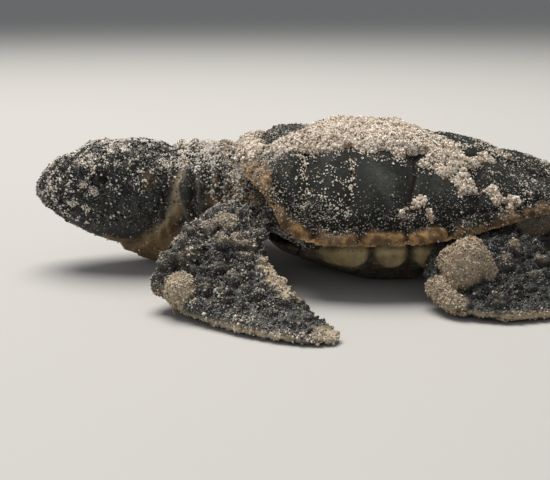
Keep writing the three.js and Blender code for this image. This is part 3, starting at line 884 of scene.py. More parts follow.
class TurtleSandSettings(bpy.types.PropertyGroup):
    """Sizes and colours of the sand."""

    grain: FloatProperty(name="Grain", description="Usual size of a grain, mm", default=0.22)
    heap: FloatProperty(name="Heap", description="Thickness of the heap on the back, mm", default=1.0)
    seed: IntProperty(name="Seed", description="Starts the scatter of grains", default=7)
    grain_white: tint("White", "White grains", (0.93, 0.89, 0.81))
    grain_cream: tint("Cream", "Cream grains", (0.69, 0.58, 0.45))
    grain_tan: tint("Tan", "Tan grains", (0.36, 0.26, 0.17))
    grain_pink: tint("Pink", "Pinkish grains", (0.72, 0.57, 0.49))
    grain_damp: tint("Damp", "Damp grains", (0.54, 0.455, 0.33))
    grain_grey: tint("Grey", "Grey grains", (0.2, 0.205, 0.19))
    grain_dark: tint("Dark", "Dark grains", (0.045, 0.047, 0.044))
    grain_black: tint("Black", "Black grains", (0.012, 0.012, 0.011))


class TurtleDetailSettings(bpy.types.PropertyGroup):
    """Colours of the eyes and claws."""

    iris: tint("Iris", "Iris", (0.035, 0.024, 0.016))
    iris_deep: tint("Deep iris", "Darker iris", (0.012, 0.009, 0.007))
    pupil: tint("Pupil", "Pupil", (0.003, 0.003, 0.003))
    claw: tint("Claw", "Claw", (0.33, 0.26, 0.17))
    claw_deep: tint("Deep claw", "Darker claw", (0.13, 0.1, 0.07))


class TurtleStageSettings(bpy.types.PropertyGroup):
    """The floor, the light and the camera."""

    floor: tint("Floor", "Plain floor", (0.46, 0.45, 0.43))
    sky: FloatProperty(name="Sky", description="Strength of the even light from all round", default=0.3)
    key: FloatProperty(name="Key", description="Power of the large soft light overhead, W", default=4.4)
    fill: FloatProperty(name="Fill", description="Power of the light beside the camera, W", default=0.3)
    lens: FloatProperty(name="Lens", description="Focal length, mm", default=67.09)


# ---------- skin ----------
FLESH = [*HEAD_NODES, "neck", "trunk", "tail"]
LIMBS_START = len(FLESH)
FLESH += [name.format(side) for side in SIDES for name in LIMB_NODES]
LIMB_WORDS = ("left_front", "right_front", "left_hind", "right_hind")
SWELL = 0.22
EYES = ("left_eye", "right_eye")


def eye_frame(name):
    """An eye's centre and its outward, forward and upward directions."""
    low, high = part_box(name)
    centre = np.array((low + high) / 2) / MM - ORIGIN
    side = LEFT if name.startswith("left") else RIGHT
    outward = turned(np.array([[0.16, side * 1.0, 0.16]]), HEAD_YAW, (0, 0))[0]
    outward /= np.linalg.norm(outward)
    forward = turned(np.array([[-1.0, 0, 0]]), HEAD_YAW, (0, 0))[0]
    forward -= outward * (forward @ outward)
    forward /= np.linalg.norm(forward)
    up = np.cross(forward, outward)
    return centre, outward, forward, up * np.sign(up[2])


def sculpt_eyes(points, relief, crease):
    """Opens the lids over each eyeball, rings them with two folds and darkens what lies round them with
    painted shade.
    """
    for name in EYES:
        centre, outward, forward, up = eye_frame(name)
        away = points - centre
        reach = np.linalg.norm(away, axis=1)
        along, high = away @ forward, away @ up - 0.05
        lid = np.where(high > 0, 0.6, 0.46) * np.clip(1 - (np.abs(along) / 0.92) ** 2.2, -0.9, 1)
        outside = np.maximum(np.abs(along) - 0.82, 0) * 0.8 + np.maximum(np.abs(high) - lid, -0.5)
        near = ((away @ outward) > 0) & (reach < 3.6)
        opened = near & (outside < 0)
        rim = near & (outside >= 0)
        share = smooth_step(outside, 0, 1.0)
        ring = EYE_RADIUS + 0.1 + 0.22 * smooth_step(outside, 0, 0.22)
        ring = mix(ring, np.maximum(reach + 0.1 * (1 - share), ring), smooth_step(outside, 0.12, 0.9))
        ring = ring - 0.12 * bump(outside - 0.62, 0.13) + 0.05 * bump(outside - 0.85, 0.15)
        scale = np.where(opened, (EYE_RADIUS - 0.35) / reach, 1.0)
        scale = np.where(rim & (reach < 3.2), mix(ring / reach, 1.0, smooth_step(reach, 2.5, 3.2)), scale)
        points = centre + away * scale[:, None]
        relief = np.where(near & (outside < 0.35), 0, relief)
        # Painted shade in the socket round the eye.
        crease = np.where(near, np.maximum(crease, smooth_step(outside, 0.75, 0.2)), crease)
    return points, relief, crease


def head_relief(points, head, scale_size):
    """Mouth line, lips, nostrils, brow and scales of the head, and how creased each place is, for painted
    shade in the mouth line and between the scales.
    """
    share, side, high = on_straight_head(points)
    off = high - lookup(LIP_LINE, share)
    in_mouth = smooth_step(share, 0.6, 0.54) * head
    mouth = bump(off, 0.17) * in_mouth
    relief = -0.3 * mouth + in_mouth * (0.13 * bump(off - 0.5, 0.35) - 0.1 * bump(off + 0.45, 0.3))
    for side_sign in (LEFT, RIGHT):
        ahead, beside = (share - 0.05) * HEAD_LENGTH, side - side_sign * 0.85
        relief -= 0.35 * bump(np.sqrt(ahead**2 + beside**2 + (high - 1.5) ** 2), 0.28) * head
    _, gap, _ = pebbles(warped(points, 0.5, 1.7, 21), scale_size, 31)
    plated = head * smooth_step(high, -3.4, -1.6) * smooth_step(share, 0.06, 0.2)
    crease = bump(gap, 0.16) * plated
    relief += plated * (0.16 * smooth_step(gap, 0, 0.35) - 0.08)
    relief += head * layered(points, (0.13, 1.1, 33), (0.1, 0.45, 34))
    crown = head * smooth_step(high, 2.2, 3.6)
    relief += crown * (0.22 * smooth_step(share, 0.31, 0.35) * smooth_step(share, 0.62, 0.42))
    relief -= crown * 0.28 * bump((share - 0.27) * HEAD_LENGTH, 0.9)
    return relief, np.maximum(crease, mouth)


def neck_relief(points, neck):
    """The slack folds of the neck, upright on its flanks, how dark the painted shade in its creases is and how
    pale its ridges.
    """
    x, _, z = points.T
    warp = layered(points, (0.55, 2.4, 41), (0.3, 0.9, 42))
    wave = np.sin((x + warp + 0.12 * z) * 2 * math.pi / FOLD_STEP)
    fine = np.sin((x + 1.6 * warp) * 2 * math.pi / FINE_FOLD_STEP)
    upper = smooth_step(z, 2.4, 5.0)
    nape = smooth_step(z, 10.5, 13)
    rear = smooth_step(x, -3.6, -1.5) * smooth_step(z, 7.5, 9.5)
    relief = neck * (0.46 * wave * upper * (1 - 0.75 * nape) + 0.08 * fine)
    relief += neck * nape * layered(points, (0.25, 1.3, 47), (0.15, 0.6, 48))
    relief += neck * rear * (0.4 * smooth_step(pebbles(points, 1.3, 43)[0], 0.75, 0.15) - 0.25)
    crest = bump(x + 6.4, 1.1) * smooth_step(z, 12.6, 13.6)
    relief += 0.5 * neck * crest * smooth_step(pebbles(points, 0.8, 40)[0], 0.6, 0.1)
    ridge = neck * smooth_step(wave, 0.2, 0.9) * upper * smooth_step(rough(points, 1.5, 44), -0.3, 0.4)
    return relief, neck * smooth_step(-wave, 0.1, 0.9) * upper, ridge


def limb_relief(points, weight, side, limb):
    """Pebbled scales, larger ones along the leading edge, clods of damp sand and the creases between them,
    with how creased (for painted shade in the creases), how pale and how caked with sand each place is."""
    near = on_limb(points, side, limb)
    x, y, z = near.T
    plan = near[:, :2]
    from_lead, along = line_distance(plan, limb["lead"])
    _, gap, own = pebbles(warped(near, 0.35, 1.4, 51), 1.2, 54)
    row = smooth_step(from_lead, 1.7, 1.0)
    row_seam = np.abs((along / 1.4) % 1 - 0.5) * 2
    relief = (1 - row) * (0.42 * smooth_step(gap, 0, 0.5) * (0.5 + own) - 0.22)
    relief += row * (0.22 * smooth_step(row_seam, 0.98, 0.6) - 0.12)
    relief += 0.3 * rough(near, 2.6, 56) * smooth_step(z, 1.0, 3.0)

    # Clods stand up from the limb, each with a crease round it.
    upper = smooth_step(z, 0.5, 1.4)
    caked, swelling = np.zeros((2, len(near)))
    for *centre, radius, cake in limb["clods"]:
        away = np.linalg.norm(near - centre, axis=1) + 0.35 * rough(near, 0.8, 62)
        if radius > 1.4 and limb is LIMBS["hind"]:
            relief *= smooth_step(away, radius - 0.6, radius + 0.1)
        swelling = np.maximum(swelling, 0.62 * np.sqrt(np.clip(1 - (away / radius) ** 2, 0, 1)))
        relief -= 0.22 * bump(away - radius - 0.15, 0.3) * upper
        caked = np.maximum(caked, cake * smooth_step(away, radius, radius - 0.5))
    relief += swelling
    for line in limb["creases"]:
        relief -= 0.55 * bump(line_distance(plan, line)[0], 0.42) * smooth_step(z, 1.2, 3.4)

    # The knob of sand on the joint of the limb.
    *centre, radius = limb["knob"]
    from_knob = np.linalg.norm(near - centre, axis=1) - radius + 0.5 * rough(near, 1.6, 63)
    ball = smooth_step(from_knob, 0.25, -0.1)
    facets, _, _ = pebbles(near + 0.4 * rough(near, 1.2, 65)[:, None], 2.4, 66)
    lump = 0.2 * rough(near, 2.4, 61) + 0.14 * smooth_step(facets, 0.9, 0.1) - 0.25
    lump += 0.16 * rough(near, 0.6, 64)
    apex = np.array(centre) + (1, -0.5, radius)
    lump += 0.14 * radius * bump(np.linalg.norm(near - apex, axis=1), 0.4 * radius)
    relief = mix(relief, lump, ball)
    relief -= 0.35 * bump(from_knob - 0.4, 0.3) * upper
    caked = np.maximum(caked, ball)

    pale = smooth_step(from_lead, 0.9, 0.25) * smooth_step(z, 1.3, 0.5) * smooth_step(along, 11, 15)
    if limb is LIMBS["front"]:
        from_trail, _ = line_distance(plan, limb["trail"])
        patch = smooth_step(from_trail + 0.5 * rough(near, 1.0, 60), 2.1, 1.2)
        pale = np.maximum(pale, patch * smooth_step(np.abs(y - 22.2), 3.2, 2.4))
        pale = np.maximum(pale, smooth_step(x, 7.6, 9.4) * smooth_step(y, 28, 29))
    crease = bump(gap, 0.2) * (1 - row)
    return relief * weight, crease * weight, pale * weight, caked * weight


def flesh_surface(voxel):
    """The flesh wrapped in one even mesh, finer on its upper side and finest round the eyes, and which of the
    nodes each of its points belongs to."""
    mesh = wrapped(gathered(FLESH, SWELL), voxel)
    finder = NodeFinder(FLESH)
    points = points_of(mesh)
    owner = finder.nearest(points)
    edges = edges_of(mesh)
    points = spread(points, edges, 3, 0.52)
    joint = spread((owner >= LIMBS_START).astype(float), edges, 9)
    joint = np.clip(4 * joint * (1 - joint), 0, 1)[:, None]
    points = mix(points, spread(points, edges, 12), joint)
    place(mesh, points)
    shown = (owner != FLESH.index("trunk")) | (joint[:, 0] > 0.3)
    shown &= (normals_of(mesh)[:, 2] > -0.5) & (points[:, 2] > 0.4)
    mesh = finer(mesh, shown)
    for reach in (3.1, 2.3):
        points = points_of(mesh)
        close = np.zeros(len(points), bool)
        for name in EYES:
            centre, outward, _, _ = eye_frame(name)
            away = points - centre
            close |= (np.linalg.norm(away, axis=1) < reach) & (away @ outward > 0)
        mesh = finer(mesh, close)
    points, edges = eased(mesh, 2)
    return mesh, points, edges, finder.nearest(points)


def shares_of_parts(owner, edges):
    """How far each point belongs to the head, the neck and each limb, running over at the joints."""
    weights = {}
    for word in ("head", "neck", *LIMB_WORDS):
        nodes = HEAD_NODES if word == "head" else [name for name in FLESH if name.startswith(word)]
        members = [FLESH.index(name) for name in nodes]
        weights[word] = spread(np.isin(owner, members).astype(float), edges, 4)
    return weights


def tan_places(points, weights, rest, from_head):
    """How tan each place is: the throat, what lies below the jaw line, the temple, the beak and the rear."""
    x, _, z = points.T
    head, neck = weights["head"], weights["neck"]
    share, _, high = on_straight_head(points)
    jaw_line = lookup(JAW_LINE, x) + 0.2 * rough(points, 1.2, 49)
    streaks = smooth_step(rough(points * [1, 1, 0.4], 1.1, 50), 0.15, 0.5)
    temple = np.hypot((share - 0.765) * HEAD_LENGTH, 0.8 * (high - 1.9)) + 0.7 * rough(points, 0.7, 51)
    places = (
        head * smooth_step(z, jaw_line + 0.15, jaw_line - 0.25),
        neck * smooth_step(z, 5.8, 3.6),
        neck * bump(from_head - 0.95, 0.4) * smooth_step(z, 9, 7),
        0.7 * neck * smooth_step(x, -4.2, -2.6) * streaks,
        0.8 * neck * bump(np.hypot(x + 2.5, z - 8.6), 0.9),
        # Only a weak tan under the rear of the shell, which leaves it dark as painted shade.
        0.35 * rest * smooth_step(x, 20, 26) * smooth_step(z, 7.5, 6),
        0.6 * head * smooth_step(temple, 1.3, 0.3),
        0.7 * head * (smooth_step(share, 0.12, 0.02) * smooth_step(high, -0.2, -1.6)),
    )
    return np.clip(np.max(places, axis=0), 0, 1)


class TURTLE_OT_skin(bpy.types.Operator):
    """Wrap the flesh in one scaly skin with lids, mouth, folds and flippers."""

    bl_idname = "turtle.skin"
    bl_label = "Skin"

    def execute(self, context):
        look = context.scene.turtle_skin
        mesh, points, edges, owner = flesh_surface(look.voxel)
        points -= normals_of(mesh) * (SWELL + look.coat)
        weights = shares_of_parts(owner, edges)
        head, neck = weights["head"], weights["neck"]
        rest = np.clip(1 - sum(weights.values()), 0, 1)

        relief, crease = head_relief(points, head, look.scale_size)
        more, folds, ridges = neck_relief(points, neck)
        relief, crease = relief + more, np.maximum(crease, folds)
        pale = 0.3 * ridges
        caked = np.zeros(len(points))
        for word, side in SIDES.items():
            for end, limb in LIMBS.items():
                weight = weights[f"{word}_{end}"]
                here = weight > 0.01
                found = limb_relief(points[here], weight[here], side, limb)
                relief[here] += found[0]
                for values, limb_values in zip((crease, pale, caked), found[1:]):
                    values[here] = np.maximum(values[here], limb_values)
        _, gap, _ = pebbles(points, 0.8, 45)
        relief += rest * (0.1 * smooth_step(gap, 0, 0.4) + 0.15 * rough(points, 2.5, 46))

        # The pale fold behind the cheek.
        x, _, z = points.T
        from_head = NodeFinder(HEAD_NODES).distance(points)
        share, _, _ = on_straight_head(points)
        collar = np.clip(neck + head * smooth_step(share, 0.93, 0.98), 0, 1)
        collar *= smooth_step(from_head, -0.1, 0.2)
        collar *= smooth_step(from_head + 0.15 * rough(points, 1.0, 48), 1.2, 0.85)
        collar *= smooth_step(z, 12.0, 10.8) * smooth_step(z, 3.0, 4.4)
        relief += 0.4 * bump(from_head - 0.6, 0.5) * neck * smooth_step(z, 13.0, 11.5)
        relief += 0.3 * neck * smooth_step(z, 12.6, 13.6)
        tan = tan_places(points, weights, rest, from_head)
        points, relief, crease = sculpt_eyes(points, relief, crease)
        place(mesh, points)
        points = points + normals_of(mesh) * relief[:, None]

        # The flanks draw in behind the bridges, and what touches the floor settles on it.
        x, y, z = points.T
        drawn_in = rest * smooth_step(x, 4, 7) * smooth_step(x, 27, 24)
        y *= 1 - 0.09 * drawn_in * smooth_step(z, 6.8, 5.8)
        for word in ("neck", *LIMB_WORDS):
            low = z[weights[word] > 0.5].min()
            z -= (low - 0.02) * weights[word] * smooth_step(z, 2.2, 0.0)
        place(mesh, points)

        up = smooth_step(normals_of(mesh)[:, 2], -0.1, 0.75)
        _, _, high = on_straight_head(points)
        dust = 0.25 + 0.25 * up
        dust = mix(dust, 0.14 + 0.16 * smooth_step(high, 0.5, 4.4), head)
        dust = mix(dust, 0.12 + 0.2 * up, neck)
        limbs = sum(weights[f"{word}_{end}"] for word in SIDES for end in LIMBS)
        hind = weights["left_hind"] + weights["right_hind"]
        # The hind limbs get less dust, as painted shade.
        dust = mix(dust, 0.4 + 0.2 * up - 0.3 * hind, np.clip(limbs, 0, 1))
        bright = np.clip(0.15 + pale + caked + head * smooth_step(high, 1, 4), 0, 1)
        pale = np.clip(pale + collar, 0, 1)
        keep_values(mesh, crease=crease, pale=pale, tan=tan, caked=caked, dust=dust, bright=bright)
        keep_values(mesh, **{"on_" + word: weight for word, weight in weights.items()})
        add_piece("skin", mesh, skin_material(look), "skin", *FLESH)
        return {"FINISHED"}


# ---------- shell ----------
def patchy(points):
    """From 0 to 1, where dull sand gathers on the plates of the back."""
    return smooth_step(layered(points, (1, 2.4, 111), (0.6, 0.8, 112)), -0.1, 0.5)


class TURTLE_OT_back_shell(bpy.types.Operator):
    """Shape the plated back: seams, swelling plates, rim and fine ribs."""

    bl_idname = "turtle.back_shell"
    bl_label = "Back shell"

    def execute(self, context):
        look = context.scene.turtle_shell
        mesh = bare_back(look.voxel, 34)
        points = points_of(mesh)
        normals = normals_of(mesh)
        x = points[:, 0]
        angle, share, above = on_shell(points)
        lobe = lobe_of_rim(angle)
        top = smooth_step(normals[:, 2], -0.25, 0.1)
        seam = shell_seams(points, normals)
        heap = heap_cover(points) * top
        relief = -look.inset * np.ones(len(points))
        relief -= look.seam_depth * bump(seam, 0.22) * top
        relief += look.plate_rise * (smooth_step(seam, 0, 2.2) - 1) * top
        ribs = np.sin((x + 0.25 * rough(points, 1.5, 81)) * 2 * math.pi / RIB_STEP)
        relief += 0.018 * ribs * top * smooth_step(seam, 0.2, 1.0)
        relief += 0.03 * rough(points, 0.5, 82) * top
        relief -= 0.12 * bump(lobe - 1, 0.12) * smooth_step(share, 0.93, 0.97)
        relief -= 0.25 * heap
        place(mesh, points + normals * relief[:, None])

        # The pale edge of the rim, broad in front and narrow at the rear, and the sand that clings to plates.
        start = rim_band_start(angle)
        outer = smooth_step(share, start - 0.004, start + 0.012)
        front, rear = smooth_step(x, 7.5, 4.5), smooth_step(x, 21, 27)
        band_top = 1.95 + 1.7 * front - 0.55 * rear - 0.6 * lobe**5 * (1 - front)
        band_top += 0.45 * rough(points, 1.0, 85)
        rim = smooth_step(above, band_top + 0.25, band_top - 0.55) * smooth_step(share, 0.86, 0.9)
        rim *= (1 - 0.85 * bump(lobe - 1, 0.13)) * (0.8 + 0.4 * rough(points, 0.7, 86))
        rim *= 1 - 0.25 * front - 0.45 * rear
        edge = np.clip(np.maximum(rim, 0.7 * (1 - top) * (1 - 0.7 * rear)), 0, 1)
        patch = patchy(points)
        low = smooth_step(above, 6.0, 3.2) * (1 - rim)
        early = smooth_step(x, 8.6, 4.5)
        dust = 0.03 + 0.5 * low * (0.5 + 0.5 * patch) + 0.12 * bump(seam, 0.5) * patch
        dust += (0.1 + 0.3 * patch) * rim
        dust += 0.3 * early * (0.6 + 0.4 * patch) + 0.2 * rear * rim
        # middle marks the paler middle of each plate, a painted highlight.
        keep_values(
            mesh,
            crease=np.clip(bump(seam, 0.2) * 0.9 * top, 0, 1),
            middle=smooth_step(seam, 0.8, 3.0) * top * (1 - outer) * (1 - 0.6 * rear),
            rim=edge,
            dust=np.clip(dust, 0, 0.8) * top,
            bright=np.clip(0.12 + 0.25 * low + 0.4 * early + 0.1 * rim, 0, 1),
            seam=seam,
            heap=heap,
        )
        add_piece("back_shell", mesh, shell_material(look), "shell", "carapace")
        return {"FINISHED"}


class TURTLE_OT_belly_shell(bpy.types.Operator):
    """Shape the belly plates and the three swelling plates of each bridge."""

    bl_idname = "turtle.belly_shell"
    bl_label = "Belly shell"

    def execute(self, context):
        look = context.scene.turtle_shell
        mesh = wrapped(gathered(["plastron"]), BELLY_VOXEL)
        points, _ = eased(mesh, 3)
        normals = normals_of(mesh)
        x, _, z = points.T
        side = np.abs(points[:, 1])
        seam = np.abs(points[:, 1] + 0.15 * rough(points, 3, 91))
        for at in BELLY_SEAMS:
            seam = np.minimum(seam, np.abs(x - (at + 0.3 * np.cos(side * 0.5))))
        bridge = smooth_step(side, 11.2, 12.2) * smooth_step(x, 6.0, 7.0) * smooth_step(x, 25, 24)
        cross = np.min([np.abs(x - at) for at in BRIDGE_SEAMS], axis=0)
        seam = np.where(bridge > 0.5, np.minimum(np.abs(side - BRIDGE_INNER), cross), seam)
        low_edge = 2.6 + 1.3 * (1 - smooth_step(cross, 0, 1.9)) + 0.2 * rough(points, 1.2, 94)
        lobe = bridge * smooth_step(cross, 0, 0.9) * smooth_step(z, low_edge, low_edge + 0.7)
        flat = smooth_step(z, 0.5, 0.15)
        relief = -0.05 - 0.2 * bump(seam, 0.22) * (1 - flat) + 0.45 * lobe
        relief += 0.03 * rough(points, 0.9, 92) * (1 - flat)
        points = points + normals * relief[:, None]
        x, _, z = points.T
        z -= (z.min() - 0.01) * smooth_step(z, 0.6, 0.1)
        place(mesh, points)
        fore = bridge * smooth_step(x, 9, 7) * smooth_step(z, 2.2, 3.2)
        # The belly plates' own dark brown, which also stands as painted shade below the bridges' lobes.
        shaded = 0.9 * (1 - lobe) * smooth_step(rough(points, 4, 93), -1.4, 0) * (1 - 0.5 * fore)
        dust = 0.2 + 0.25 * smooth_step(z, 2.5, 0.5)
        bright = np.full(len(points), 0.2)
        keep_values(mesh, crease=bump(seam, 0.2), shaded=shaded, dust=dust, bright=bright)
        add_piece("belly_shell", mesh, belly_material(look), "belly", "plastron")
        return {"FINISHED"}


# ---------- eyes and claws ----------
class TURTLE_OT_eyes(bpy.types.Operator):
    """Make the two dark, wet eyeballs."""

    bl_idname = "turtle.eyes"
    bl_label = "Eyes"

    def execute(self, context):
        material = eye_material(context.scene.turtle_detail)
        for name in EYES:
            centre, outward, _, _ = eye_frame(name)
            bm = bmesh.new()
            bmesh.ops.create_uvsphere(bm, u_segments=40, v_segments=28, radius=EYE_RADIUS - 0.02)
            point_along(bm, bm.verts, outward)
            mesh = in_metres(bm, name, centre + ORIGIN)
            away = points_of(mesh) - centre
            facing = (away @ outward) / np.linalg.norm(away, axis=1)
            keep_values(mesh, off_axis=np.arccos(np.clip(facing, -1, 1)))
            add_piece(name + "ball", mesh, material, "eye", name)
        return {"FINISHED"}


# Root and tip of each claw on the left limb, and its radius at the root.
CLAWS = {
    "front": [((-5.6, 21.8, 1.0), (-5.3, 23.1, 0.5), 0.26), ((-1.6, 25.6, 0.6), (-0.8, 26.5, 0.4), 0.2)],
    "hind": [((21.8, 21.6, 0.9), (22.2, 22.8, 0.5), 0.24), ((26.4, 24.0, 0.5), (27.2, 24.8, 0.35), 0.2)],
}


class TURTLE_OT_claws(bpy.types.Operator):
    """Set two small claws on the leading edge of each flipper."""

    bl_idname = "turtle.claws"
    bl_label = "Claws"

    def execute(self, context):
        bm = bmesh.new()
        for side in SIDES.values():
            for limb, claws in CLAWS.items():
                for *ends, radius in claws:
                    start, end = (Vector(p) for p in off_limb(ends, side, LIMBS[limb]))
                    way = end - start
                    made = bmesh.ops.create_cone(
                        bm,
                        cap_ends=True,
                        segments=12,
                        radius1=radius,
                        radius2=radius * CLAW_TIP,
                        depth=way.length,
                    )["verts"]
                    bmesh.ops.translate(bm, verts=made, vec=(0, 0, way.length / 2))
                    point_along(bm, made, way)
                    bmesh.ops.translate(bm, verts=made, vec=start)
        lengthwise = [e for e in bm.edges if [len(f.verts) for f in e.link_faces] == [4, 4]]
        bmesh.ops.subdivide_edges(bm, edges=lengthwise, cuts=3)
        mesh = in_metres(bm, "claws", ORIGIN)
        add_piece("claws", mesh, claw_material(context.scene.turtle_detail), "claw")
        return {"FINISHED"}


# ---------- sand ----------
def grain_shape():
    """A small eight-sided grain of unit size, as corner points and triangles."""
    bm = bmesh.new()
    bmesh.ops.create_uvsphere(bm, u_segments=4, v_segments=2, radius=0.5)
    bmesh.ops.triangulate(bm, faces=bm.faces)
    bm.verts.index_update()
    corners = np.array([v.co for v in bm.verts])
    triangles = np.array([[v.index for v in f.verts] for f in bm.faces])
    bm.free()
    return corners, triangles


def scattered(mesh, density, random, allowed):
    """Roots of grains on a mesh: their points, normals and the vertex nearest to each."""
    mesh.calc_loop_triangles()
    corner = read(mesh.loop_triangles, "vertices", 3, np.int64)
    points = points_of(mesh)
    normals = normals_of(mesh)
    a, b, c = (points[corner[:, k]] for k in range(3))
    area = np.linalg.norm(np.cross(b - a, c - a), axis=1) / 2
    want = density[corner].mean(axis=1) * area
    if want.sum() > allowed:
        want *= allowed / want.sum()
    index = np.repeat(np.arange(len(corner)), random.poisson(want))
    index = random.permutation(index)[:allowed]
    u, v = random.random((2, len(index)))
    over = u + v > 1
    u, v = np.where(over, 1 - u, u), np.where(over, 1 - v, v)
    weight = np.stack([1 - u - v, u, v], axis=1)[..., None]
    roots, ways = ((values[corner[index]] * weight).sum(axis=1) for values in (points, normals))
    return roots, ways, corner[index, 0]


def turns(random, count):
    """Random rotations."""
    q = random.normal(size=(count, 4))
    w, x, y, z = (q / np.linalg.norm(q, axis=1)[:, None]).T
    rows = [
        [1 - 2 * (y * y + z * z), 2 * (x * y - z * w), 2 * (x * z + y * w)],
        [2 * (x * y + z * w), 1 - 2 * (x * x + z * z), 2 * (y * z - x * w)],
        [2 * (x * z - y * w), 2 * (y * z + x * w), 1 - 2 * (x * x + y * y)],
    ]
    return np.moveaxis(np.array(rows), -1, 0)


def lay_grains(name, host, density, unwrap, size, bright, damp, tones=(0, 1), seed=0):
    """Lays a scatter of loose grains on a host mesh as one joined piece."""
    random = np.random.default_rng(seed)
    corners, triangles = grain_shape()
    per, tri = len(corners), len(triangles)
    roots, normals, vertex = scattered(host, density, random, MOST_TRIANGLES // tri)
    count = len(roots)
    width = size * np.exp(random.normal(0, GRAIN_SPREAD, count)).clip(0.5, 2.1)
    squash = random.uniform(0.7, 1.3, (count, 1, 3))
    shape = corners[None] * squash * width[:, None, None]
    shape = np.einsum("nij,nkj->nki", turns(random, count), shape)
    lift = width * GRAIN_LIFT
    places = shape + (roots + normals * lift[:, None])[:, None, :]
    places[..., 2] = np.maximum(places[..., 2], 0.01)
    mesh = bpy.data.meshes.new(name)
    mesh.vertices.add(count * per)
    mesh.loops.add(count * tri * 3)
    mesh.polygons.add(count * tri)
    index = (triangles[None] + np.arange(count)[:, None, None] * per).ravel()
    mesh.loops.foreach_set("vertex_index", index.astype(np.int32))
    mesh.polygons.foreach_set("loop_start", np.arange(count * tri, dtype=np.int32) * 3)
    mesh.update(calc_edges=True)
    place(mesh, places.reshape(-1, 3))
    spot = unwrap(roots, normals)[:, None, None, :] + PATCH * corners[triangles][None, ..., :2]
    chart = mesh.uv_layers.new(name="OFBake")
    chart.data.foreach_set("uv", spot.astype(np.float32).ravel())
    each = {"tone": random.uniform(*tones, count), "bright": bright[vertex], "damp": damp[vertex]}
    keep_values(mesh, **{word: np.repeat(values, per) for word, values in each.items()})
    return add_piece(name, mesh, bpy.data.materials["sand_grains"], "sand", smooth=False)


def shell_chart(roots, _normals):
    """The back laid flat, seen along its own dome."""
    angle, share, _ = on_shell(roots)
    return 0.5 + 0.46 * share.clip(0, 1.05)[:, None] * np.stack([np.cos(angle), np.sin(angle)], axis=1)


def head_chart(roots, _normals):
    """The head and neck unrolled round their axis."""
    share, side, high = on_straight_head(roots)
    turn = np.arctan2(side, high) / (2 * math.pi) * 0.96
    return np.stack([0.06 + 0.42 * share.clip(-0.1, 2.1), 0.5 + turn], axis=1)


def limb_chart(limb, side):
    """A limb laid flat, with its upper face on one half of the chart and its lower face on the other."""
    edges = np.array(limb["lead"] + limb["trail"])
    low, high = edges.min(axis=0) - 1, edges.max(axis=0) + 1

    def chart(roots, normals):
        plan = on_limb(roots, side, limb)[:, :2]
        share = ((plan - low) / (high - low)).clip(0, 1) * [0.46, 0.94] + [0.02, 0.03]
        share[:, 0] += np.where(normals[:, 2] < 0, 0.5, 0)
        return share

    return chart


class TURTLE_OT_sand_heap(bpy.types.Operator):
    """Pile the heap of dry sand on the back, with loose clumps round it."""

    bl_idname = "turtle.sand_heap"
    bl_label = "Sand heap"

    def execute(self, context):
        look = context.scene.turtle_sand
        mesh = bare_back(HEAP_VOXEL, 26)
        points = points_of(mesh)
        normals = normals_of(mesh)
        cover = heap_cover(points) * smooth_step(normals[:, 2], 0.0, 0.2)
        lumps, _, _ = pebbles(points, 1.5, 103)
        fine, _, _ = pebbles(points, 0.62, 105)
        crumbs = 0.16 * rough(points, 2.1, 102) + 0.18 * smooth_step(lumps, 0.8, 0.1)
        crumbs += 0.16 * smooth_step(fine, 0.8, 0.1) + 0.1 * rough(points, 0.5, 104) - 0.2
        rise = look.heap * cover - 0.28 + smooth_step(cover, 0, 0.5) * crumbs
        place(mesh, points + normals * rise[:, None])

        # Only the covered faces stay, closed off a little below the surface.
        bm = bmesh.new()
        bm.from_mesh(mesh)
        bm.verts.ensure_lookup_table()
        covered = bm.verts.layers.float.new("cover")
        for vert, share in zip(bm.verts, cover):
            vert[covered] = share
        bare = [f for f in bm.faces if max(v[covered] for v in f.verts) < 0.03]
        bmesh.ops.delete(bm, geom=bare, context="FACES")
        bm.normal_update()
        under = [(v, v.co - v.normal * HEAP_BASE * MM) for v in bm.verts]
        bmesh.ops.extrude_face_region(bm, geom=bm.faces[:], use_keep_orig=True)
        for vert, low in under:
            vert.co = low
            vert[covered] = 0
        bmesh.ops.recalc_face_normals(bm, faces=bm.faces)
        bm.to_mesh(mesh)
        bm.free()
        # The heap's own sheet is tan, as painted shade in the gaps between the grains.
        same = np.ones(len(mesh.vertices))
        keep_values(mesh, tone=0.12 * same, bright=same, damp=0.6 * same)
        add_piece("sand_heap", mesh, grain_material(look), "sand")
        return {"FINISHED"}


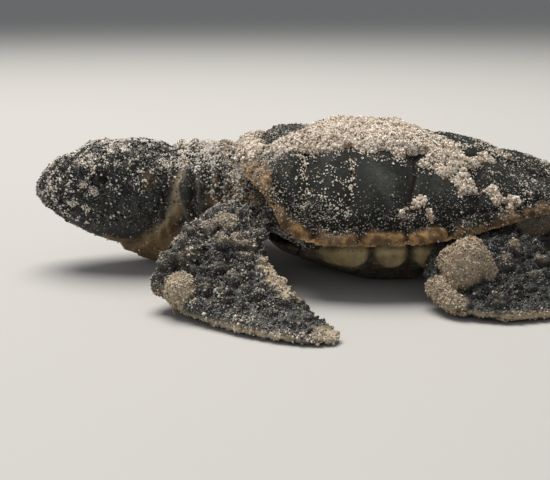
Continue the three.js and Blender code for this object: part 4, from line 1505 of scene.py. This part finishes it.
class TURTLE_OT_sand_on_back(bpy.types.Operator):
    """Scatter grains over the heap and the plates of the back."""

    bl_idname = "turtle.sand_on_back"
    bl_label = "Sand on the back"

    def execute(self, context):
        look = context.scene.turtle_sand
        heap = bpy.data.objects["sand_heap"].data
        density = 78 * smooth_step(value_of(heap, "cover"), 0.02, 0.12)
        same = np.ones(len(density))
        near = smooth_step(points_of(heap)[:, 1], -2.9, -3.1)
        for word, part in (("near", near), ("far", 1 - near)):
            name, size = f"sand_heap_grains_{word}", look.grain * 0.95
            lay_grains(name, heap, density * part, shell_chart, size, same, 0 * same, seed=look.seed)

        shell = bpy.data.objects["back_shell"].data
        points = points_of(shell)
        normals = normals_of(shell)
        x, side = points[:, 0], np.abs(points[:, 1])
        angle, share, above = on_shell(points)
        seam, cover = value_of(shell, "seam"), value_of(shell, "heap")
        heap_in, clump_in = heap_depth(points)
        up = smooth_step(normals[:, 2], 0.05, 0.5)
        start = rim_band_start(angle)
        outer = smooth_step(share, start, start + 0.01)
        front, rear = smooth_step(x, 6.6, 3.4), smooth_step(x, 26, 31)
        low = smooth_step(above, 5.5, 3.0)
        patch = patchy(points)
        tight = smooth_step(layered(points, (1, 1.2, 113), (0.7, 0.5, 114)), 0.1, 0.6)

        # Pale grains lie in some seams, in a knot on the flank, on the front and along the heap's edge.
        lines = bump(seam, 0.35) * smooth_step(x, 6.8, 7.4) * smooth_step(x, 14, 13.2)
        lines *= smooth_step(side, 9.0, 10.0)
        knot = bump(np.hypot(x - 11.2, side - 14.2), 2.1) + 0.6 * bump(np.hypot(x - 8.4, side - 12.4), 1.6)
        fringe = np.maximum(smooth_step(heap_in, -1.8, -0.1), 0.7 * smooth_step(clump_in, -0.5, -0.05))
        pale = 0.06 + 34 * lines * tight + (4 + 16 * tight) * knot * (1 - outer)
        pale += (
            32 * front * mix(tight, 1, 0.5 * (1 - up))
            + 11 * rear * tight
            + 36 * fringe**2 * (0.35 + 0.65 * tight)
        )
        pale += 11 * smooth_step(x, 20, 23) * smooth_step(side, 4.5, 2.5) * (0.2 + tight)
        dull = 20 * low * (0.3 + 0.7 * patch) * (1 - 0.8 * smooth_step(x, 22, 28))
        dull = dull + 15 * front * (0.4 + 0.6 * patch) + 2 * rear + 12 * outer * (0.3 + patch)
        open_to_sand = mix(0.35, 1, np.maximum(up, 0.8 * front)) * (1 - cover)
        open_to_sand *= smooth_step(normals[:, 2], -0.3, 0.0)
        brim = above - 1.1 * smooth_step(x, 7.5, 4.5)
        band = smooth_step(brim, 3.1, 2.4) * smooth_step(share, 0.86, 0.9) * smooth_step(side, 6, 8.5)
        band *= 1 - 0.6 * smooth_step(x, 21, 27)
        density = (pale + dull) * open_to_sand * (1 - 0.7 * band)
        bright = np.clip(pale / (pale + dull) + 0.08 * low, 0, 1)
        damp, tones, size = 0.3 * outer, (0.2, 0.95), look.grain * 0.78
        lay_grains("sand_on_back", shell, density, shell_chart, size, bright, damp, tones, look.seed + 1)
        return {"FINISHED"}


# Clumps of pale grains on the sides of the head: share from the snout, height, radius and grains per mm2.
HEAD_SPOTS = (
    (0.72, 1.2, 0.9, 14), (0.26, -0.9, 0.55, 40), (0.36, -1.7, 0.4, 40), (0.56, 0.6, 0.5, 20),
    (0.41, 0.6, 0.4, 60), (0.335, 1.1, 0.35, 50),
)


def clear_of_eyes(points):
    """From 0 to 1, how free the sand is to lie: it keeps off the eyes and the hoods above them."""
    free = np.ones(len(points))
    for name in EYES:
        centre, outward, _, upward = eye_frame(name)
        away = points - centre
        free *= 1 - 0.97 * smooth_step(np.linalg.norm(away, axis=1), 1.86, 1.68)
        hood = np.linalg.norm(away - 1.5 * outward - 1.15 * upward, axis=1)
        free *= 1 - 0.9 * smooth_step(hood, 1.0, 0.6)
    return free


def pale_sand_on_side(points, share, high, patch):
    """How thickly pale grains lie on the head: on its crown and snout, in an arc before the eye, in spots."""
    sparse = smooth_step(layered(points, (1, 0.7, 124), (0.6, 1.6, 125)), -0.1, 0.4)
    arc = np.abs(np.hypot((share - 0.36) * HEAD_LENGTH, high - 0.9) - 3.9 - 0.4 * rough(points, 1.5, 123))
    arc = bump(arc, 0.25) * smooth_step(share, 0.3, 0.22)
    pale = 50 * smooth_step(high + 1.6 * patch, 0.9, 4.9) * (0.05 + 0.95 * sparse)
    pale += 7 * sparse * smooth_step(share, 0.58, 0.35) * smooth_step(high, -3.4, -1.5) + 0.7
    pale += 26 * smooth_step(share, 0.2, 0.02) * smooth_step(patch, -0.6, 0.5) + 26 * arc
    for spot, height, radius, grains in HEAD_SPOTS:
        near = np.hypot((share - spot) * HEAD_LENGTH, high - height)
        pale += grains * smooth_step(near, radius + 0.3, radius - 0.2)
    return pale


class TURTLE_OT_sand_on_skin(bpy.types.Operator):
    """Scatter grains over the head, the neck, the tail and the limbs."""

    bl_idname = "turtle.sand_on_skin"
    bl_label = "Sand on the skin"

    def execute(self, context):
        look = context.scene.turtle_sand
        skin = bpy.data.objects["skin"].data
        points = points_of(skin)
        x, y, z = points.T
        up = smooth_step(normals_of(skin)[:, 2], -0.15, 0.7)
        head, neck, tan, pale_skin, caked, crease = (
            value_of(skin, name) for name in ("on_head", "on_neck", "tan", "pale", "caked", "crease")
        )
        share, _, high = on_straight_head(points)
        patch = layered(points, (1, 1.5, 121), (0.5, 0.6, 122))
        free = clear_of_eyes(points)
        none = np.zeros(len(points))

        size, tones = look.grain * 0.9, (0, 0.92)
        dull = 26 * head * (0.75 + 0.35 * patch) * smooth_step(high, -4.2, -2.8) * free
        dull *= 1 - 0.6 * tan
        lay_grains("dark_sand_on_head", skin, dull, head_chart, size, none, none, tones, look.seed + 2)

        # Pale grains on the head run on over the nape in bands.
        pale = pale_sand_on_side(points, share, high, patch)
        pale *= head * free * (1 - 0.3 * tan * smooth_step(share, 0.4, 0.6))
        along = x + 0.4 * patch
        band = bump(along + 6.0, 0.9) + bump(along + 2.9, 1.0) + 0.9 * smooth_step(along, -0.7, 0.1)
        band = neck * np.clip(band, 0, 1) * smooth_step(z + 0.9 * patch, 10.6, 13.0) * up
        pale += 0.2 * neck + 62 * band
        pale += neck * (34 * bump(along - 0.6, 1.2) + 8 * bump(along + 2.6, 0.5)) * smooth_step(z, 7.0, 9.5)
        bright = 0.95 - 0.5 * smooth_step(share, 0.12, 0.0) - 0.3 * neck * smooth_step(x, -4, -1)
        bright = np.clip(bright, 0, 1)
        pale *= 1 - 0.85 * np.clip(neck + smooth_step(share, 0.9, 0.95), 0, 1) * pale_skin
        pale *= 1 - 0.85 * neck * bump(np.hypot(x + 0.9, z - 12.9), 0.9)
        tones = (0.42, 0.88)
        lay_grains("pale_sand_on_head", skin, pale, head_chart, size, bright, none, tones, look.seed + 3)

        limbs = sum(value_of(skin, f"on_{word}_{end}") for word in SIDES for end in LIMBS)
        rest = np.clip(1 - limbs - head, 0, 1) * smooth_step(z, 0.6, 1.4)
        shoulder = rest * smooth_step(x, -3.5, -1) * smooth_step(x, 10, 6)
        dull = rest * (5 + 9 * up + 10 * shoulder) * (0.8 + 0.4 * patch)
        dull *= 1 - 0.8 * np.maximum(tan, neck * pale_skin)
        dull *= 1 - 0.75 * band
        light = rest * (0.15 + 0.85 * shoulder * smooth_step(patch, -0.8, 0.1))
        size = look.grain * 0.85
        lay_grains("sand_on_neck_and_tail", skin, dull, head_chart, size, light, none, seed=look.seed + 4)

        patch = layered(points, (1, 1.8, 131), (0.5, 0.7, 132))
        crumbs = smooth_step(rough(points, 0.8, 133) + 0.5 * patch, 0.15, 0.6)
        coat = mix(10, 26, up) * (0.8 + 0.3 * patch) + 18 * caked
        coat *= 1 - 0.8 * crease * (1 - caked)
        damp = np.clip(1.2 * caked + 0.6 * pale_skin, 0, 1)
        for number, (word, end) in enumerate((word, end) for word in SIDES for end in LIMBS):
            front = end == "front"
            inner = smooth_step(np.abs(y), 13, 9.5) if front else 0
            density = (coat + 10 * inner) * value_of(skin, f"on_{word}_{end}")
            # Grains on the hind limbs are darker and fewer of them are pale, as painted shade.
            bright = 0.02 + 0.75 * caked + 0.85 * pale_skin + (0.75 if front else 0.06) * crumbs + 0.4 * inner
            # Grains in creases are darkened, as painted shade.
            bright = np.clip(bright * (1 - 0.8 * crease), 0, 1)
            name, seed = f"sand_on_{word}_{end}_limb", look.seed + LIMB_SEED + number
            chart, tones = limb_chart(LIMBS[end], SIDES[word]), (0, 1) if front else (0, 0.55)
            lay_grains(name, skin, density, chart, size, bright, damp, tones, seed)
        return {"FINISHED"}


# ---------- stage ----------
CAMERA = np.array([4.6, -120.0, 31.3])
CAMERA_PITCH = math.radians(13.443)


class TURTLE_OT_stage(bpy.types.Operator):
    """Lay the plain floor and set up the light and the camera."""

    bl_idname = "turtle.stage"
    bl_label = "Stage"

    def execute(self, context):
        look = context.scene.turtle_stage
        scene = context.scene
        bm = bmesh.new()
        bmesh.ops.create_grid(bm, x_segments=1, y_segments=1, size=12)
        mesh = bpy.data.meshes.new("floor")
        bm.to_mesh(mesh)
        bm.free()
        floor = bpy.data.objects.new("floor", mesh)
        scene.collection.objects.link(floor)
        material, _, sockets = new_material("floor_paint")
        sockets["Base Color"].default_value = linear(look.floor)
        sockets["Roughness"].default_value = 0.7
        mesh.materials.append(material)

        world = bpy.data.worlds.new("studio")
        world.use_nodes = True
        back = world.node_tree.nodes["Background"]
        back.inputs["Color"].default_value = (0.86, 0.9, 0.95, 1)
        back.inputs["Strength"].default_value = look.sky
        scene.world = world
        lights = [
            ("key", (-0.1, 0.16, 0.5), 0.45, look.key, (1, 0.97, 0.92)),
            ("fill", (-0.25, -0.5, 0.25), 0.4, look.fill, (0.95, 0.97, 1)),
        ]
        for name, where, size, power, colour in lights:
            light = bpy.data.lights.new(name, "AREA")
            light.shape = "DISK"
            light.size = size
            light.energy = power
            light.color = colour
            lamp = bpy.data.objects.new(name, light)
            lamp.location = where
            lamp.rotation_euler = (Vector((0, 0, 0.005)) - lamp.location).to_track_quat("-Z", "Y").to_euler()
            scene.collection.objects.link(lamp)

        camera = bpy.data.cameras.new("camera")
        camera.lens = look.lens
        camera.sensor_width = 36
        camera.sensor_fit = "HORIZONTAL"
        camera.clip_start = 0.005
        camera.clip_end = 40
        holder = bpy.data.objects.new("camera", camera)
        holder.location = (CAMERA + ORIGIN) * MM
        holder.rotation_euler = (math.pi / 2 - CAMERA_PITCH, 0, 0)
        scene.collection.objects.link(holder)
        scene.camera = holder
        scene.view_settings.view_transform = "Standard"
        return {"FINISHED"}


# ---------- panel and registration ----------
STEPS = (
    TURTLE_OT_stage,
    TURTLE_OT_skin,
    TURTLE_OT_back_shell,
    TURTLE_OT_belly_shell,
    TURTLE_OT_eyes,
    TURTLE_OT_claws,
    TURTLE_OT_sand_heap,
    TURTLE_OT_sand_on_back,
    TURTLE_OT_sand_on_skin,
)
SETTINGS = {
    "turtle_skin": TurtleSkinSettings,
    "turtle_shell": TurtleShellSettings,
    "turtle_sand": TurtleSandSettings,
    "turtle_detail": TurtleDetailSettings,
    "turtle_stage": TurtleStageSettings,
}


class TURTLE_PT_panel(bpy.types.Panel):
    """Lists the steps and their settings."""

    bl_label = "Loggerhead hatchling"
    bl_space_type = "VIEW_3D"
    bl_region_type = "UI"
    bl_category = "Turtle"

    def draw(self, context):
        for step in STEPS:
            self.layout.operator(step.bl_idname)
        for name, kind in SETTINGS.items():
            box = self.layout.box()
            for key in kind.__annotations__:
                box.prop(getattr(context.scene, name), key)


def register():
    for kind in (*SETTINGS.values(), *STEPS, TURTLE_PT_panel):
        bpy.utils.register_class(kind)
    for name, kind in SETTINGS.items():
        setattr(bpy.types.Scene, name, PointerProperty(type=kind))


def unregister():
    for name in SETTINGS:
        delattr(bpy.types.Scene, name)
    for kind in (TURTLE_PT_panel, *reversed(STEPS), *reversed(SETTINGS.values())):
        bpy.utils.unregister_class(kind)


def main():
    register()
    bpy.ops.turtle.stage()
    bpy.ops.turtle.skin()
    bpy.ops.turtle.back_shell()
    bpy.ops.turtle.belly_shell()
    bpy.ops.turtle.eyes()
    bpy.ops.turtle.claws()
    bpy.ops.turtle.sand_heap()
    bpy.ops.turtle.sand_on_back()
    bpy.ops.turtle.sand_on_skin()


if __name__ == "__main__":
    main()
